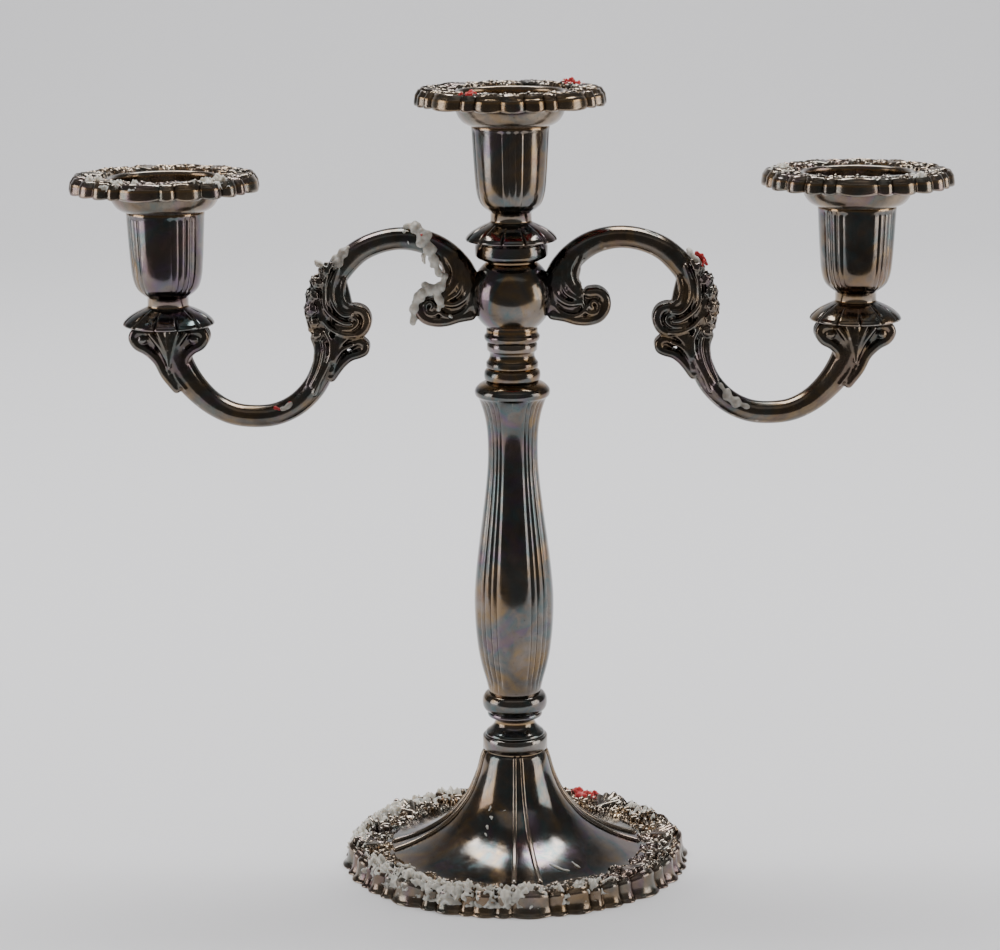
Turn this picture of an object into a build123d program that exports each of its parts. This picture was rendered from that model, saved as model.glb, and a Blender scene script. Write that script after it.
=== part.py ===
"""Three-light table candelabrum in cast and spun silver plate.

A fluted stand is stacked on one tie rod. A branch with two scroll arms plugs into its neck and turns there.
Each of the three candle nozzles carries a lift-out wax pan. Millimetres, Z up, the arms lie along X.
"""

import os
from math import cos, pi, radians, sin, sqrt

from build123d import *

# ---- fits ----
FIT = 0.05  # radial clearance of a plain fit
TURNING_GAP = 0.1  # air between two faces that turn past each other
SEAT_GAP = 0.15  # radial air round a disc or ring that drops into a recess

# ---- foot ----
FOOT_RADIUS = 64.0  # to the tips of the lobes
FOOT_LOBE_DEPTH = 1.5
FOOT_RIM_HEIGHT = 8.2
FOOT_RIM_WALL = 3.2
FOOT_BAND_WIDTH = 19.5  # of the rim and the relief band, out from the bell
FOOT_WALL = 1.8
BELL_HEIGHT = 42.8
BELL_TOP_RADIUS = 10.8
BELL_TOP_THICKNESS = 3.4
BELL_RIDGE_RADIUS = 0.7
BELL_RIDGE_SPREAD = 12.0  # degrees between the two ridges of a pair
FOOT_TURN = 5.0  # degrees that the foot is turned against the arms
LEDGE_WIDTH = 3.4
LEDGE_HEIGHT = 1.5
LEDGE_Z = 2.4

# ---- underside ----
PLATE_THICKNESS = 1.2
PLATE_DISH_RADIUS = 12.0
PLATE_DISH_HEIGHT = 7.6
FELT_THICKNESS = 1.0
FELT_MARGIN = 1.5

# ---- tie rod, its nut and washer ----
ROD_RADIUS = 3.0
NUT_ACROSS_FLATS = 10.0
NUT_HEIGHT = 4.8
WASHER_RADIUS = 7.0
WASHER_THICKNESS = 1.0
ROD_END_BELOW_NUT = 0.8
ROD_END_GAP = 0.6  # air past the end of a rod or screw in a blind hole

# ---- stand, from the foot up ----
COLLAR_RADIUS = 11.8
COLLAR_HEIGHT = 5.4
KNOP_RADIUS = 11.7
KNOP_NECK_RADIUS = 7.3
KNOP_HEIGHT = 16.2
COLUMN_HEIGHT = 115.0
COLUMN_FOOT_RADIUS = 9.4
COLUMN_BELLY_RADIUS = 14.2
COLUMN_WAIST_RADIUS = 8.9
COLUMN_SHOULDER_RADIUS = 13.4
COLUMN_TOP_RADIUS = 9.4
COLUMN_BELLY_SHARE = 0.30  # of the column's height, where it is widest
COLUMN_WAIST_SHARE = 0.76
COLUMN_SHOULDER_SHARE = 0.968
FLUTE_RADIUS = 1.0
FLUTE_DEPTH = 0.35
# Angles of the grooves in each quarter turn, from the middle of a wide panel.
COLUMN_FLUTES = (28.0, 38.5, 51.5, 62.0)
NOZZLE_FLUTES = (28.0, 39.0, 51.0, 62.0)
NECK_RADIUS = 10.0
NECK_BAND_RADIUS = 8.9
NECK_HEIGHT = 14.1
NECK_TAIL_LENGTH = 19.0
NECK_TAIL_WALL = 1.4
NECK_FLOOR = 2.0  # between the spigot's hole and the rod's hole

# ---- spigot that the branch stands on ----
SPIGOT_RADIUS = 4.9
SPIGOT_LENGTH = 18.0
SPIGOT_FLANGE_WIDTH = 2.3
SPIGOT_FLANGE_THICKNESS = 1.2

# ---- hub of the branch ----
HUB_RADIUS = 14.7
HUB_WALL = 2.5
HUB_RING_RADIUS = 10.0
HUB_RING_HEIGHT = 5.4
HUB_FLAT_RADIUS = 9.0  # of the flat that ring and collar bear on
HUB_COLLAR_RADIUS = 12.8
HUB_COLLAR_HEIGHT = 7.4

# ---- arms ----
ARM_REACH = 122.0  # from the hub's axis to a side nozzle's axis
ARM_SEAT_DROP = 10.2  # of a side nozzle's seat under the hub's centre
ARM_TUBE_RADIUS = 4.3
ARM_WEB_HALF_THICKNESS = 4.6
ARM_SWELLING_RADIUS = 5.6  # under the flowers
ARM_TENON_RADIUS = 3.0
ARM_TENON_LENGTH = 6.5
ARM_SEAT_RADIUS = 8.0
ARM_SEAT_THICKNESS = 2.4

# ---- skirt, nozzle and wax pan, alike on all three lights ----
CANDLE_RADIUS = 11.0
CANDLE_CLEARANCE = 0.1  # in the nozzle
SKIRT_RADIUS = 16.2
SKIRT_HEIGHT = 7.4
SKIRT_NECK_RADIUS = 7.35
SKIRT_HOLLOW = 1.6
NOZZLE_HEIGHT = 33.5
NOZZLE_WALL_TOP = 1.25
NOZZLE_WALL_WAIST = 1.0  # just above the rounded bottom
NOZZLE_FLOOR = 8.2  # thickness of metal under the candle
PAN_CANDLE_CLEARANCE = 0.45
PAN_COLLAR_WALL = 0.85
PAN_COLLAR_LENGTH = 6.0
PAN_BOWL_WIDTH = 5.9  # from the nozzle's rim out to the well's side
PAN_FLANGE_WIDTH = 14.2
PAN_LOBE_DEPTH = 1.0
PAN_WALL = 1.2
PAN_HEIGHT = 12.0
PAN_LIP_HEIGHT = 4.6
SCREW_RADIUS = 2.5
SCREW_HEAD_RADIUS = 4.2
SCREW_HEAD_HEIGHT = 2.4
SCREW_REACH = 9.0  # into the arm, below the seat

# ---- radii that follow ----
FOOT_BAND_INNER_RADIUS = FOOT_RADIUS - FOOT_BAND_WIDTH
RIM_INNER_RADIUS = FOOT_RADIUS - FOOT_LOBE_DEPTH - FOOT_RIM_WALL
PLATE_RADIUS = RIM_INNER_RADIUS - SEAT_GAP
ROD_HOLE_RADIUS = ROD_RADIUS + FIT
SCREW_HOLE_RADIUS = SCREW_RADIUS + FIT
SPIGOT_FLANGE_RADIUS = SPIGOT_RADIUS + SPIGOT_FLANGE_WIDTH
NECK_TAIL_RADIUS = SPIGOT_RADIUS + FIT + NECK_TAIL_WALL
COLUMN_BORE_RADIUS = NECK_TAIL_RADIUS + FIT
CANDLE_BORE_RADIUS = CANDLE_RADIUS + CANDLE_CLEARANCE
PAN_COLLAR_INNER_RADIUS = CANDLE_RADIUS + PAN_CANDLE_CLEARANCE
PAN_COLLAR_RADIUS = PAN_COLLAR_INNER_RADIUS + PAN_COLLAR_WALL
NOZZLE_TOP_RADIUS = PAN_COLLAR_RADIUS + SEAT_GAP + NOZZLE_WALL_TOP
NOZZLE_WAIST_RADIUS = CANDLE_BORE_RADIUS + NOZZLE_WALL_WAIST
PAN_WELL_RADIUS = NOZZLE_TOP_RADIUS + PAN_BOWL_WIDTH
PAN_RADIUS = PAN_WELL_RADIUS + PAN_FLANGE_WIDTH

# ---- heights that follow ----
COLLAR_Z = BELL_HEIGHT
KNOP_Z = COLLAR_Z + COLLAR_HEIGHT
COLUMN_Z = KNOP_Z + KNOP_HEIGHT
NECK_Z = COLUMN_Z + COLUMN_HEIGHT
NECK_TOP_Z = NECK_Z + NECK_HEIGHT
HUB_RING_Z = NECK_TOP_Z + TURNING_GAP
HUB_FLAT_DROP = sqrt(HUB_RADIUS**2 - HUB_FLAT_RADIUS**2)
HUB_Z = HUB_RING_Z + HUB_RING_HEIGHT + HUB_FLAT_DROP
HUB_COLLAR_Z = HUB_Z + HUB_FLAT_DROP
CENTRE_SEAT_Z = HUB_COLLAR_Z + HUB_COLLAR_HEIGHT
SIDE_SEAT_Z = HUB_Z - ARM_SEAT_DROP
PLATE_Z = LEDGE_Z - PLATE_THICKNESS
NUT_TOP_Z = PLATE_Z + PLATE_DISH_HEIGHT - WASHER_THICKNESS

# Widths in degrees of the lobes along one repeat of a lobed rim.
PAN_LOBES = (26.0, 10.0, 17.0, 15.0, 13.0, 9.0)
FOOT_LOBES = (15.0, 6.5, 8.5, 6.5, 8.5)

# Where each light stands: name, x, height of its seat, degrees that its nozzle and its pan are turned.
LIGHTS = (
    ("left", -ARM_REACH, SIDE_SEAT_Z, -13.0, -10.0),
    ("centre", 0.0, CENTRE_SEAT_Z, 48.0, -46.0),
    ("right", ARM_REACH, SIDE_SEAT_Z, 0.0, -7.0),
)


def save(name, shape):
    """Writes one named sub-part as parts/NAME.step."""
    export_step(shape, f"parts/{name}.step")


def lathe(*edges):
    """A solid of revolution about Z from a closed outline of (radius, height) edges."""
    return revolve(Plane.XZ * make_face(list(edges)), Axis.Z)


def ring(outer, inner, low, high):
    """A plain ring about Z between two heights."""
    return lathe(Polyline((inner, low), (outer, low), (outer, high), (inner, high), close=True))


def rod(radius, low, high):
    """A plain cylinder about Z between two heights."""
    return Pos(0, 0, low) * Cylinder(radius, high - low, align=(Align.CENTER, Align.CENTER, Align.MIN))


def disc_y(x, z, radius, half_thickness, edge):
    """A thick disc whose axis runs along Y, with rounded rims: the eye of a scroll."""
    disc = Cylinder(radius, 2 * half_thickness)
    disc = fillet(disc.edges(), edge)
    return Pos(x, 0, z) * Rot(90, 0, 0) * disc


def web_y(points, half_thickness):
    """A flat web between scrolls, from its outline in X and Z."""
    face = Plane.XZ * make_face(Polyline(*points, close=True))
    return extrude(face, amount=half_thickness, both=True)


def hexagon_nut(across_flats, hole, low, high):
    """A hexagon nut about Z."""
    blank = extrude(RegularPolygon(across_flats / 2, 6, major_radius=False), amount=high - low)
    return Pos(0, 0, low) * blank - rod(hole, low, high)


def lobed_face(radius, depth, widths):
    """A round face whose edge is a chain of outward arcs, one for each lobe."""
    repeats = round(360 / sum(widths))
    edges = []
    angle = -widths[0] / 2
    for _ in range(repeats):
        for width in widths:
            start, middle, end = (radians(angle + share * width) for share in (0, 0.5, 1))
            low = radius - depth
            edges.append(
                ThreePointArc(
                    (low * cos(start), low * sin(start)),
                    (radius * cos(middle), radius * sin(middle)),
                    (low * cos(end), low * sin(end)),
                )
            )
            angle += width
    return make_face(edges)


def lobed_ring(radius, depth, widths, wall, low, high):
    """A lobed rim that stands upright, with a round inner wall."""
    blank = extrude(lobed_face(radius, depth, widths), amount=high - low)
    return Pos(0, 0, low) * blank - rod(radius - depth - wall, low, high)


def groove(path, radius, depth):
    """A round cutter that follows an outline on the XZ plane and bites depth deep."""
    section = Plane(origin=path @ 0, z_dir=path % 0) * Circle(radius)
    return Pos(radius - depth, 0, 0) * sweep(section, path=path)


def fluted(shape, points, angles):
    """The shape with grooves cut along its outline, at the given angles of each quarter turn."""
    path = Plane.XZ * Spline(*points)
    cutter = groove(path, FLUTE_RADIUS, FLUTE_DEPTH)
    for quarter in range(4):
        for angle in angles:
            shape -= Rot(0, 0, 90 * quarter + angle) * cutter
    return shape


# ---------------------------------------------------------------- stand


def bell_outline():
    """Radius and height along the outside of the bell, from the relief band up to the collar."""
    # Shares of the way out from the top to the band, and of the height.
    shares = (
        (1.0, 0.152), (0.80, 0.208), (0.596, 0.286), (0.415, 0.382),
        (0.288, 0.49), (0.175, 0.617), (0.086, 0.786), (0.036, 0.925),
    )
    span = FOOT_BAND_INNER_RADIUS - BELL_TOP_RADIUS
    points = [(BELL_TOP_RADIUS + out * span, up * BELL_HEIGHT) for out, up in shares]
    return points + [(BELL_TOP_RADIUS, BELL_HEIGHT)]


def make_foot():
    outside = bell_outline()
    band_radius, band_z = outside[0]
    inside = [(radius - FOOT_WALL, height - FOOT_WALL) for radius, height in outside[1:-1]]
    roof_z = BELL_HEIGHT - BELL_TOP_THICKNESS
    roof_radius = BELL_TOP_RADIUS - FOOT_WALL
    band_end = RIM_INNER_RADIUS + FOOT_WALL
    shell = lathe(
        Spline(*outside),
        Polyline(outside[-1], (ROD_HOLE_RADIUS, BELL_HEIGHT), (ROD_HOLE_RADIUS, roof_z), (roof_radius, roof_z)),
        Spline((roof_radius, roof_z), *reversed(inside)),
        Polyline(
            inside[0], (band_radius, band_z - FOOT_WALL), (band_end, FOOT_RIM_HEIGHT - FOOT_WALL),
            (band_end, FOOT_RIM_HEIGHT), outside[0],
        ),
    )
    rim = lobed_ring(FOOT_RADIUS, FOOT_LOBE_DEPTH, FOOT_LOBES, FOOT_RIM_WALL, 0, FOOT_RIM_HEIGHT)
    ledge = ring(band_end, RIM_INNER_RADIUS - LEDGE_WIDTH, LEDGE_Z, LEDGE_Z + LEDGE_HEIGHT)
    foot = shell + rim + ledge
    path = Plane.XZ * Spline(*outside[:-1])
    ridge = sweep(Plane(origin=path @ 0, z_dir=path % 0) * Circle(BELL_RIDGE_RADIUS), path=path)
    for quarter in range(4):
        for side in (-1, 1):
            foot += Rot(0, 0, 90 * quarter + side * BELL_RIDGE_SPREAD / 2) * ridge
    return Rot(0, 0, FOOT_TURN) * foot


def make_bottom_plate():
    low, high = PLATE_Z, PLATE_Z + PLATE_THICKNESS
    dish = PLATE_Z + PLATE_DISH_HEIGHT
    slope = PLATE_DISH_RADIUS + PLATE_THICKNESS
    return lathe(
        Polyline(
            (PLATE_RADIUS, low),
            (PLATE_RADIUS, high),
            (slope + PLATE_THICKNESS, high),
            (slope, dish + PLATE_THICKNESS),
            (ROD_HOLE_RADIUS, dish + PLATE_THICKNESS),
            (ROD_HOLE_RADIUS, dish),
            (PLATE_DISH_RADIUS, dish),
            (slope, low),
            close=True,
        )
    )


def make_base_felt():
    return rod(PLATE_RADIUS - FELT_MARGIN, PLATE_Z - FELT_THICKNESS, PLATE_Z)


def make_rod_washer():
    return ring(WASHER_RADIUS, ROD_HOLE_RADIUS, NUT_TOP_Z, NUT_TOP_Z + WASHER_THICKNESS)


def make_rod_nut():
    return hexagon_nut(NUT_ACROSS_FLATS, ROD_HOLE_RADIUS, NUT_TOP_Z - NUT_HEIGHT, NUT_TOP_Z)


def make_tie_rod():
    top = NECK_Z - NECK_TAIL_LENGTH + rod_hole_depth() - ROD_END_GAP
    return rod(ROD_RADIUS, NUT_TOP_Z - NUT_HEIGHT - ROD_END_BELOW_NUT, top)


def make_foot_collar():
    step = 1.0
    top = COLLAR_Z + COLLAR_HEIGHT
    return lathe(
        Polyline(
            (ROD_HOLE_RADIUS, COLLAR_Z),
            (COLLAR_RADIUS - step / 2, COLLAR_Z),
            (COLLAR_RADIUS, COLLAR_Z + step / 2),
            (COLLAR_RADIUS, top - step / 2),
            (COLLAR_RADIUS - step / 2, top),
            (ROD_HOLE_RADIUS, top),
            close=True,
        )
    )


def make_knop():
    """A cove, a small fillet ring and a full torus, turned in one piece."""
    def level(share):
        return KNOP_Z + share * KNOP_HEIGHT

    base = COLLAR_RADIUS - 0.9
    neck = KNOP_NECK_RADIUS
    ring_radius = KNOP_RADIUS - 1.9
    shoulder = (ring_radius + 0.5, level(0.605))
    top = (COLUMN_FOOT_RADIUS, level(1))
    return lathe(
        Polyline(
            top, (ROD_HOLE_RADIUS, level(1)), (ROD_HOLE_RADIUS, level(0)),
            (base, level(0)), (base, level(0.06)),
        ),
        ThreePointArc((base, level(0.06)), (neck + 0.7, level(0.22)), (neck, level(0.335))),
        ThreePointArc((neck, level(0.335)), (neck + 0.6, level(0.42)), (ring_radius, level(0.457))),
        Polyline((ring_radius, level(0.457)), (ring_radius, level(0.568)), shoulder),
        ThreePointArc(shoulder, (KNOP_RADIUS, level(0.80)), top),
    )


def column_radius(share):
    """Outer radius of the baluster at a share of its height, up to the shoulder."""
    if share <= COLUMN_BELLY_SHARE:
        swell = sin(pi / 2 * share / COLUMN_BELLY_SHARE)
        return COLUMN_FOOT_RADIUS + (COLUMN_BELLY_RADIUS - COLUMN_FOOT_RADIUS) * swell
    if share <= COLUMN_WAIST_SHARE:
        along = (share - COLUMN_BELLY_SHARE) / (COLUMN_WAIST_SHARE - COLUMN_BELLY_SHARE)
        return COLUMN_BELLY_RADIUS + (COLUMN_WAIST_RADIUS - COLUMN_BELLY_RADIUS) * (1 - cos(pi * along)) / 2
    along = (share - COLUMN_WAIST_SHARE) / (COLUMN_SHOULDER_SHARE - COLUMN_WAIST_SHARE)
    return COLUMN_WAIST_RADIUS + (COLUMN_SHOULDER_RADIUS - COLUMN_WAIST_RADIUS) * along**2.3


def make_column():
    steps = 13
    shares = [COLUMN_SHOULDER_SHARE * step / steps for step in range(steps + 1)]
    outside = [(column_radius(share), COLUMN_Z + share * COLUMN_HEIGHT) for share in shares]
    shoulder_z = outside[-1][1]
    crown_radius = COLUMN_TOP_RADIUS + 0.6 * (COLUMN_SHOULDER_RADIUS - COLUMN_TOP_RADIUS)
    crown = (crown_radius, shoulder_z + 0.7 * (NECK_Z - shoulder_z))
    column = lathe(
        Spline(*outside),
        ThreePointArc(outside[-1], crown, (COLUMN_TOP_RADIUS, NECK_Z)),
        Polyline(
            (COLUMN_TOP_RADIUS, NECK_Z), (COLUMN_BORE_RADIUS, NECK_Z),
            (COLUMN_BORE_RADIUS, COLUMN_Z), outside[0],
        ),
    )
    return fluted(column, outside[1:-1], COLUMN_FLUTES)


def rod_hole_depth():
    """Depth of the tie rod's blind hole in the neck's tail."""
    spigot_hole = SPIGOT_FLANGE_THICKNESS + SPIGOT_LENGTH + ROD_END_GAP
    return NECK_HEIGHT + NECK_TAIL_LENGTH - spigot_hole - NECK_FLOOR


def make_neck():
    """Two beads and a band, with a tail that centres it in the column and a hole for the spigot."""
    def level(share):
        return NECK_Z + share * NECK_HEIGHT

    hole = SPIGOT_RADIUS + FIT
    recess = SPIGOT_FLANGE_RADIUS + SEAT_GAP
    recess_z = NECK_TOP_Z - SPIGOT_FLANGE_THICKNESS
    floor = recess_z - SPIGOT_LENGTH - ROD_END_GAP
    tail_z = NECK_Z - NECK_TAIL_LENGTH
    rod_top = tail_z + rod_hole_depth()
    tail, band = NECK_TAIL_RADIUS, NECK_BAND_RADIUS
    bead = NECK_RADIUS - 0.9
    cove = band - 0.8
    return lathe(
        Polyline(
            (bead, level(0)), (tail, level(0)), (tail, tail_z), (ROD_HOLE_RADIUS, tail_z),
            (ROD_HOLE_RADIUS, rod_top), (0, rod_top), (0, floor), (hole, floor), (hole, recess_z),
            (recess, recess_z), (recess, level(1)), (band, level(1)), (band, level(0.80)), (cove, level(0.77)),
        ),
        ThreePointArc((cove, level(0.77)), (cove, level(0.67)), (bead - 0.3, level(0.55))),
        Polyline((bead - 0.3, level(0.55)), (bead, level(0.53)), (bead, level(0.40))),
        ThreePointArc((bead, level(0.40)), (NECK_RADIUS, level(0.19)), (bead, level(0))),
    )


# ---------------------------------------------------------------- branch


def make_spigot():
    """The plug that drops into the neck. The hub's rod turns in its top."""
    top = NECK_TOP_Z
    shoulder = top - SPIGOT_FLANGE_THICKNESS
    plug = rod(SPIGOT_RADIUS, shoulder - SPIGOT_LENGTH, shoulder) + rod(SPIGOT_FLANGE_RADIUS, shoulder, top)
    plug = chamfer(plug.faces().sort_by(Axis.Z)[0].edges(), 0.8)
    return plug - rod(ROD_HOLE_RADIUS, top - hub_rod_reach() - ROD_END_GAP, top)


def hub_rod_reach():
    """How far the hub's rod reaches down into the spigot."""
    return (SPIGOT_LENGTH + SPIGOT_FLANGE_THICKNESS) * 0.6


def nozzle_pocket_z(seat):
    """Height of the pocket's floor that a nozzle's nut or screw head bears on."""
    return seat + SKIRT_HEIGHT + NOZZLE_FLOOR - SCREW_HEAD_HEIGHT - ROD_END_GAP


def make_hub_rod():
    return rod(ROD_RADIUS, NECK_TOP_Z - hub_rod_reach(), nozzle_pocket_z(CENTRE_SEAT_Z) + SCREW_HEAD_HEIGHT)


def make_hub_ring():
    low, high = HUB_RING_Z, HUB_RING_Z + HUB_RING_HEIGHT
    base, top = (NECK_BAND_RADIUS, low), (HUB_FLAT_RADIUS, high)
    waist = (HUB_FLAT_RADIUS + 0.3, low + 3.6)
    return lathe(
        Polyline(top, (ROD_HOLE_RADIUS, high), (ROD_HOLE_RADIUS, low), base),
        ThreePointArc(base, (HUB_RING_RADIUS, low + 1.9), waist),
        Line(waist, top),
    )


def make_hub_ball():
    inner = HUB_RADIUS - HUB_WALL
    ball = Sphere(HUB_RADIUS) - Sphere(inner)
    ball &= Cylinder(HUB_RADIUS + 1, 2 * HUB_FLAT_DROP)
    ball -= Cylinder(ROD_HOLE_RADIUS, 2 * HUB_RADIUS)
    ball -= Rot(0, 90, 0) * Cylinder(ARM_TENON_RADIUS + FIT, 3 * HUB_RADIUS)
    return Pos(0, 0, HUB_Z) * ball


def make_hub_collar():
    low, high = HUB_COLLAR_Z, CENTRE_SEAT_Z
    base, top = (HUB_FLAT_RADIUS, low), (HUB_COLLAR_RADIUS - 0.4, high)
    lip, belly = (HUB_FLAT_RADIUS + 0.4, low + 0.8), (HUB_COLLAR_RADIUS, low + 4.2)
    return lathe(
        Polyline(top, (ROD_HOLE_RADIUS, high), (ROD_HOLE_RADIUS, low), base, lip),
        ThreePointArc(lip, (HUB_COLLAR_RADIUS - 0.5, low + 2.4), belly),
        Line(belly, top),
    )


def arm_point(x, z):
    """A point of the right arm, drawn for one reach and drop, moved to suit others; z counts from the hub."""
    drawn_reach, drawn_hub, drawn_drop, bow_start = 122.0, 14.7, 10.2, 66.0
    stretch = (ARM_REACH - HUB_RADIUS) / (drawn_reach - drawn_hub)
    sink = min(1, max(0, (x - bow_start) / (drawn_reach - bow_start))) * (ARM_SEAT_DROP - drawn_drop)
    return (HUB_RADIUS + (x - drawn_hub) * stretch, HUB_Z + z - sink)


def make_arm():
    """The right arm as one casting: an S-shaped tube with scroll eyes, a flower swelling and a capital."""
    tube_points = (
        (17.0, 4.0), (20.5, 12.0), (27.0, 17.4), (36.0, 20.1), (45.5, 19.4), (53.5, 16.0),
        (61.0, 8.6), (65.5, -2.5), (66.2, -14.0), (67.6, -26.0), (72.6, -36.0), (81.5, -42.6),
        (92.5, -44.4), (103.0, -42.6), (111.5, -37.4), (117.2, -29.0), (120.6, -19.0), (122.0, -12.2),
    )
    path = Plane.XZ * Spline(*[arm_point(*point) for point in tube_points])
    arm = sweep(Plane(origin=path @ 0, z_dir=path % 0) * Circle(ARM_TUBE_RADIUS), path=path)
    # Centre and radius of each scroll's eye.
    eyes = ((28.1, -5.6, 7.1), (53.6, -10.3, 5.1), (53.8, -19.0, 4.0), (111.9, -15.2, 4.6), (131.0, -15.4, 4.4))
    for x, z, radius in eyes:
        centre = arm_point(x, z)
        arm += disc_y(*centre, radius, ARM_WEB_HALF_THICKNESS, 1.6)
    root = (
        (8.0, 11.0), (17.5, 12.5), (24.0, 11.0), (24.5, 3.0),
        (28.0, 0.5), (28.0, -11.8), (20.0, -10.8), (8.0, -8.0),
    )
    calyx = (
        (52.5, -22.0), (54.5, -6.0), (58.5, 4.0), (64.0, 6.0), (71.5, -14.0), (70.6, -27.0), (63.0, -31.0),
    )
    capital = ((108.5, -11.4), (134.5, -11.4), (128.0, -20.5), (121.5, -28.5), (115.5, -24.0))
    for outline in (root, calyx, capital):
        arm += web_y([arm_point(*point) for point in outline], ARM_WEB_HALF_THICKNESS - 0.4)
    swelling = Plane.XZ * ThreePointArc(arm_point(63.5, 9.0), arm_point(68.4, 0.0), arm_point(68.4, -12.5))
    arm += sweep(Plane(origin=swelling @ 0, z_dir=swelling % 0) * Circle(ARM_SWELLING_RADIUS), path=swelling)
    for end in (0, 1):
        arm += Pos(swelling @ end) * Sphere(ARM_SWELLING_RADIUS)
    seat = SIDE_SEAT_Z
    arm += Pos(ARM_REACH, 0, 0) * rod(ARM_SEAT_RADIUS, seat - ARM_SEAT_THICKNESS, seat)
    arm -= Pos(ARM_REACH, 0, 0) * rod(SKIRT_RADIUS + 1, seat, seat + SKIRT_HEIGHT)
    arm -= Pos(ARM_REACH, 0, 0) * rod(SCREW_HOLE_RADIUS, seat - SCREW_REACH - ROD_END_GAP, seat)
    arm -= Pos(0, 0, HUB_Z) * Sphere(HUB_RADIUS + FIT)
    arm -= rod(HUB_COLLAR_RADIUS + FIT, HUB_COLLAR_Z, CENTRE_SEAT_Z)
    arm -= rod(HUB_RING_RADIUS + FIT, HUB_RING_Z, HUB_RING_Z + HUB_RING_HEIGHT)
    tenon = Rot(0, 90, 0) * rod(ARM_TENON_RADIUS, 0, ARM_TENON_LENGTH)
    return arm + Pos(HUB_RADIUS - HUB_WALL, 0, HUB_Z) * tenon


# ---------------------------------------------------------------- lights


def make_skirt(hole):
    """The petalled cap under a nozzle, standing on its seat at height zero."""
    lip = 0.9
    crown, brow = (SKIRT_NECK_RADIUS + 1.6, SKIRT_HEIGHT - 2.0), (SKIRT_RADIUS - 2.9, SKIRT_HEIGHT * 0.51)
    neck = (SKIRT_NECK_RADIUS, SKIRT_HEIGHT)
    hollow_start, hollow_end = ARM_SEAT_RADIUS + SKIRT_HOLLOW, SKIRT_RADIUS - SKIRT_HOLLOW
    return lathe(
        Polyline(
            neck, (hole, SKIRT_HEIGHT), (hole, 0), (ARM_SEAT_RADIUS, 0), (hollow_start, SKIRT_HOLLOW),
            (hollow_end, SKIRT_HOLLOW), (SKIRT_RADIUS - 0.5, 0.2), (SKIRT_RADIUS, lip),
        ),
        ThreePointArc((SKIRT_RADIUS, lip), brow, crown),
        ThreePointArc(crown, (SKIRT_NECK_RADIUS + 0.3, SKIRT_HEIGHT - 1.1), neck),
    )


def make_nozzle(hole, pocket):
    """The candle cup, with its bottom at height zero: a bore, a recess for the pan's collar, a pocket."""
    top = NOZZLE_HEIGHT
    recess = PAN_COLLAR_RADIUS + SEAT_GAP
    recess_z = top - PAN_COLLAR_LENGTH - ROD_END_GAP
    pocket_z = NOZZLE_FLOOR - SCREW_HEAD_HEIGHT - ROD_END_GAP
    neck_z, round_z = 2.6, 9.0
    waist, rim = (NOZZLE_WAIST_RADIUS, round_z), (NOZZLE_TOP_RADIUS, top)
    wall = [waist, (NOZZLE_WAIST_RADIUS + 0.6, round_z + 5), (NOZZLE_TOP_RADIUS - 0.35, top - 8), rim]
    base, neck = (SKIRT_NECK_RADIUS, 0), (SKIRT_NECK_RADIUS, neck_z)
    belly = (NOZZLE_WAIST_RADIUS - 1.3, 5.6)
    cup = lathe(
        Line(base, neck),
        ThreePointArc(neck, belly, waist),
        Spline(*wall),
        Polyline(
            rim, (recess, top), (recess, recess_z), (CANDLE_BORE_RADIUS, recess_z),
            (CANDLE_BORE_RADIUS, NOZZLE_FLOOR), (pocket, NOZZLE_FLOOR), (pocket, pocket_z),
            (hole, pocket_z), (hole, 0), base,
        ),
    )
    flute_start = (NOZZLE_WAIST_RADIUS - 0.35, round_z - 2.2)
    return fluted(cup, [flute_start, *wall[:-1], (NOZZLE_TOP_RADIUS - 0.1, top - 2.5)], NOZZLE_FLUTES)


def make_pan():
    """The lobed wax pan, with its underside on the nozzle's top at height zero."""
    inner = PAN_COLLAR_INNER_RADIUS
    flange_z = PAN_HEIGHT - PAN_WALL
    flange_radius = PAN_RADIUS - PAN_LOBE_DEPTH - PAN_WALL / 2
    outside, side_z = PAN_WELL_RADIUS, 6.2
    inside = outside - PAN_WALL
    base, floor = (NOZZLE_TOP_RADIUS, 0), (NOZZLE_TOP_RADIUS - 0.6, PAN_WALL)
    shell = lathe(
        ThreePointArc(base, (outside - 1.6, 3.2), (outside, side_z)),
        Polyline(
            (outside, side_z), (outside + 0.4, flange_z), (flange_radius, flange_z),
            (flange_radius, PAN_HEIGHT), (inside, PAN_HEIGHT), (inside, side_z + 0.2),
        ),
        ThreePointArc((inside, side_z + 0.2), (inside - 1.6, 3.9), floor),
        Polyline(
            floor, (inner, PAN_WALL), (inner, -PAN_COLLAR_LENGTH), (PAN_COLLAR_RADIUS, -PAN_COLLAR_LENGTH),
            (PAN_COLLAR_RADIUS, 0), base,
        ),
    )
    lip = lobed_ring(PAN_RADIUS, PAN_LOBE_DEPTH, PAN_LOBES, PAN_WALL, PAN_HEIGHT - PAN_LIP_HEIGHT, PAN_HEIGHT)
    return shell + lip


def make_screw(seat):
    """A cheese-head screw from the nozzle's floor into the arm."""
    head_z = nozzle_pocket_z(seat)
    head = rod(SCREW_HEAD_RADIUS, head_z, head_z + SCREW_HEAD_HEIGHT)
    slot = Pos(0, 0, head_z + SCREW_HEAD_HEIGHT) * Box(3 * SCREW_HEAD_RADIUS, 1.0, 1.6)
    return head + rod(SCREW_RADIUS, seat - SCREW_REACH, head_z) - slot


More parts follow.
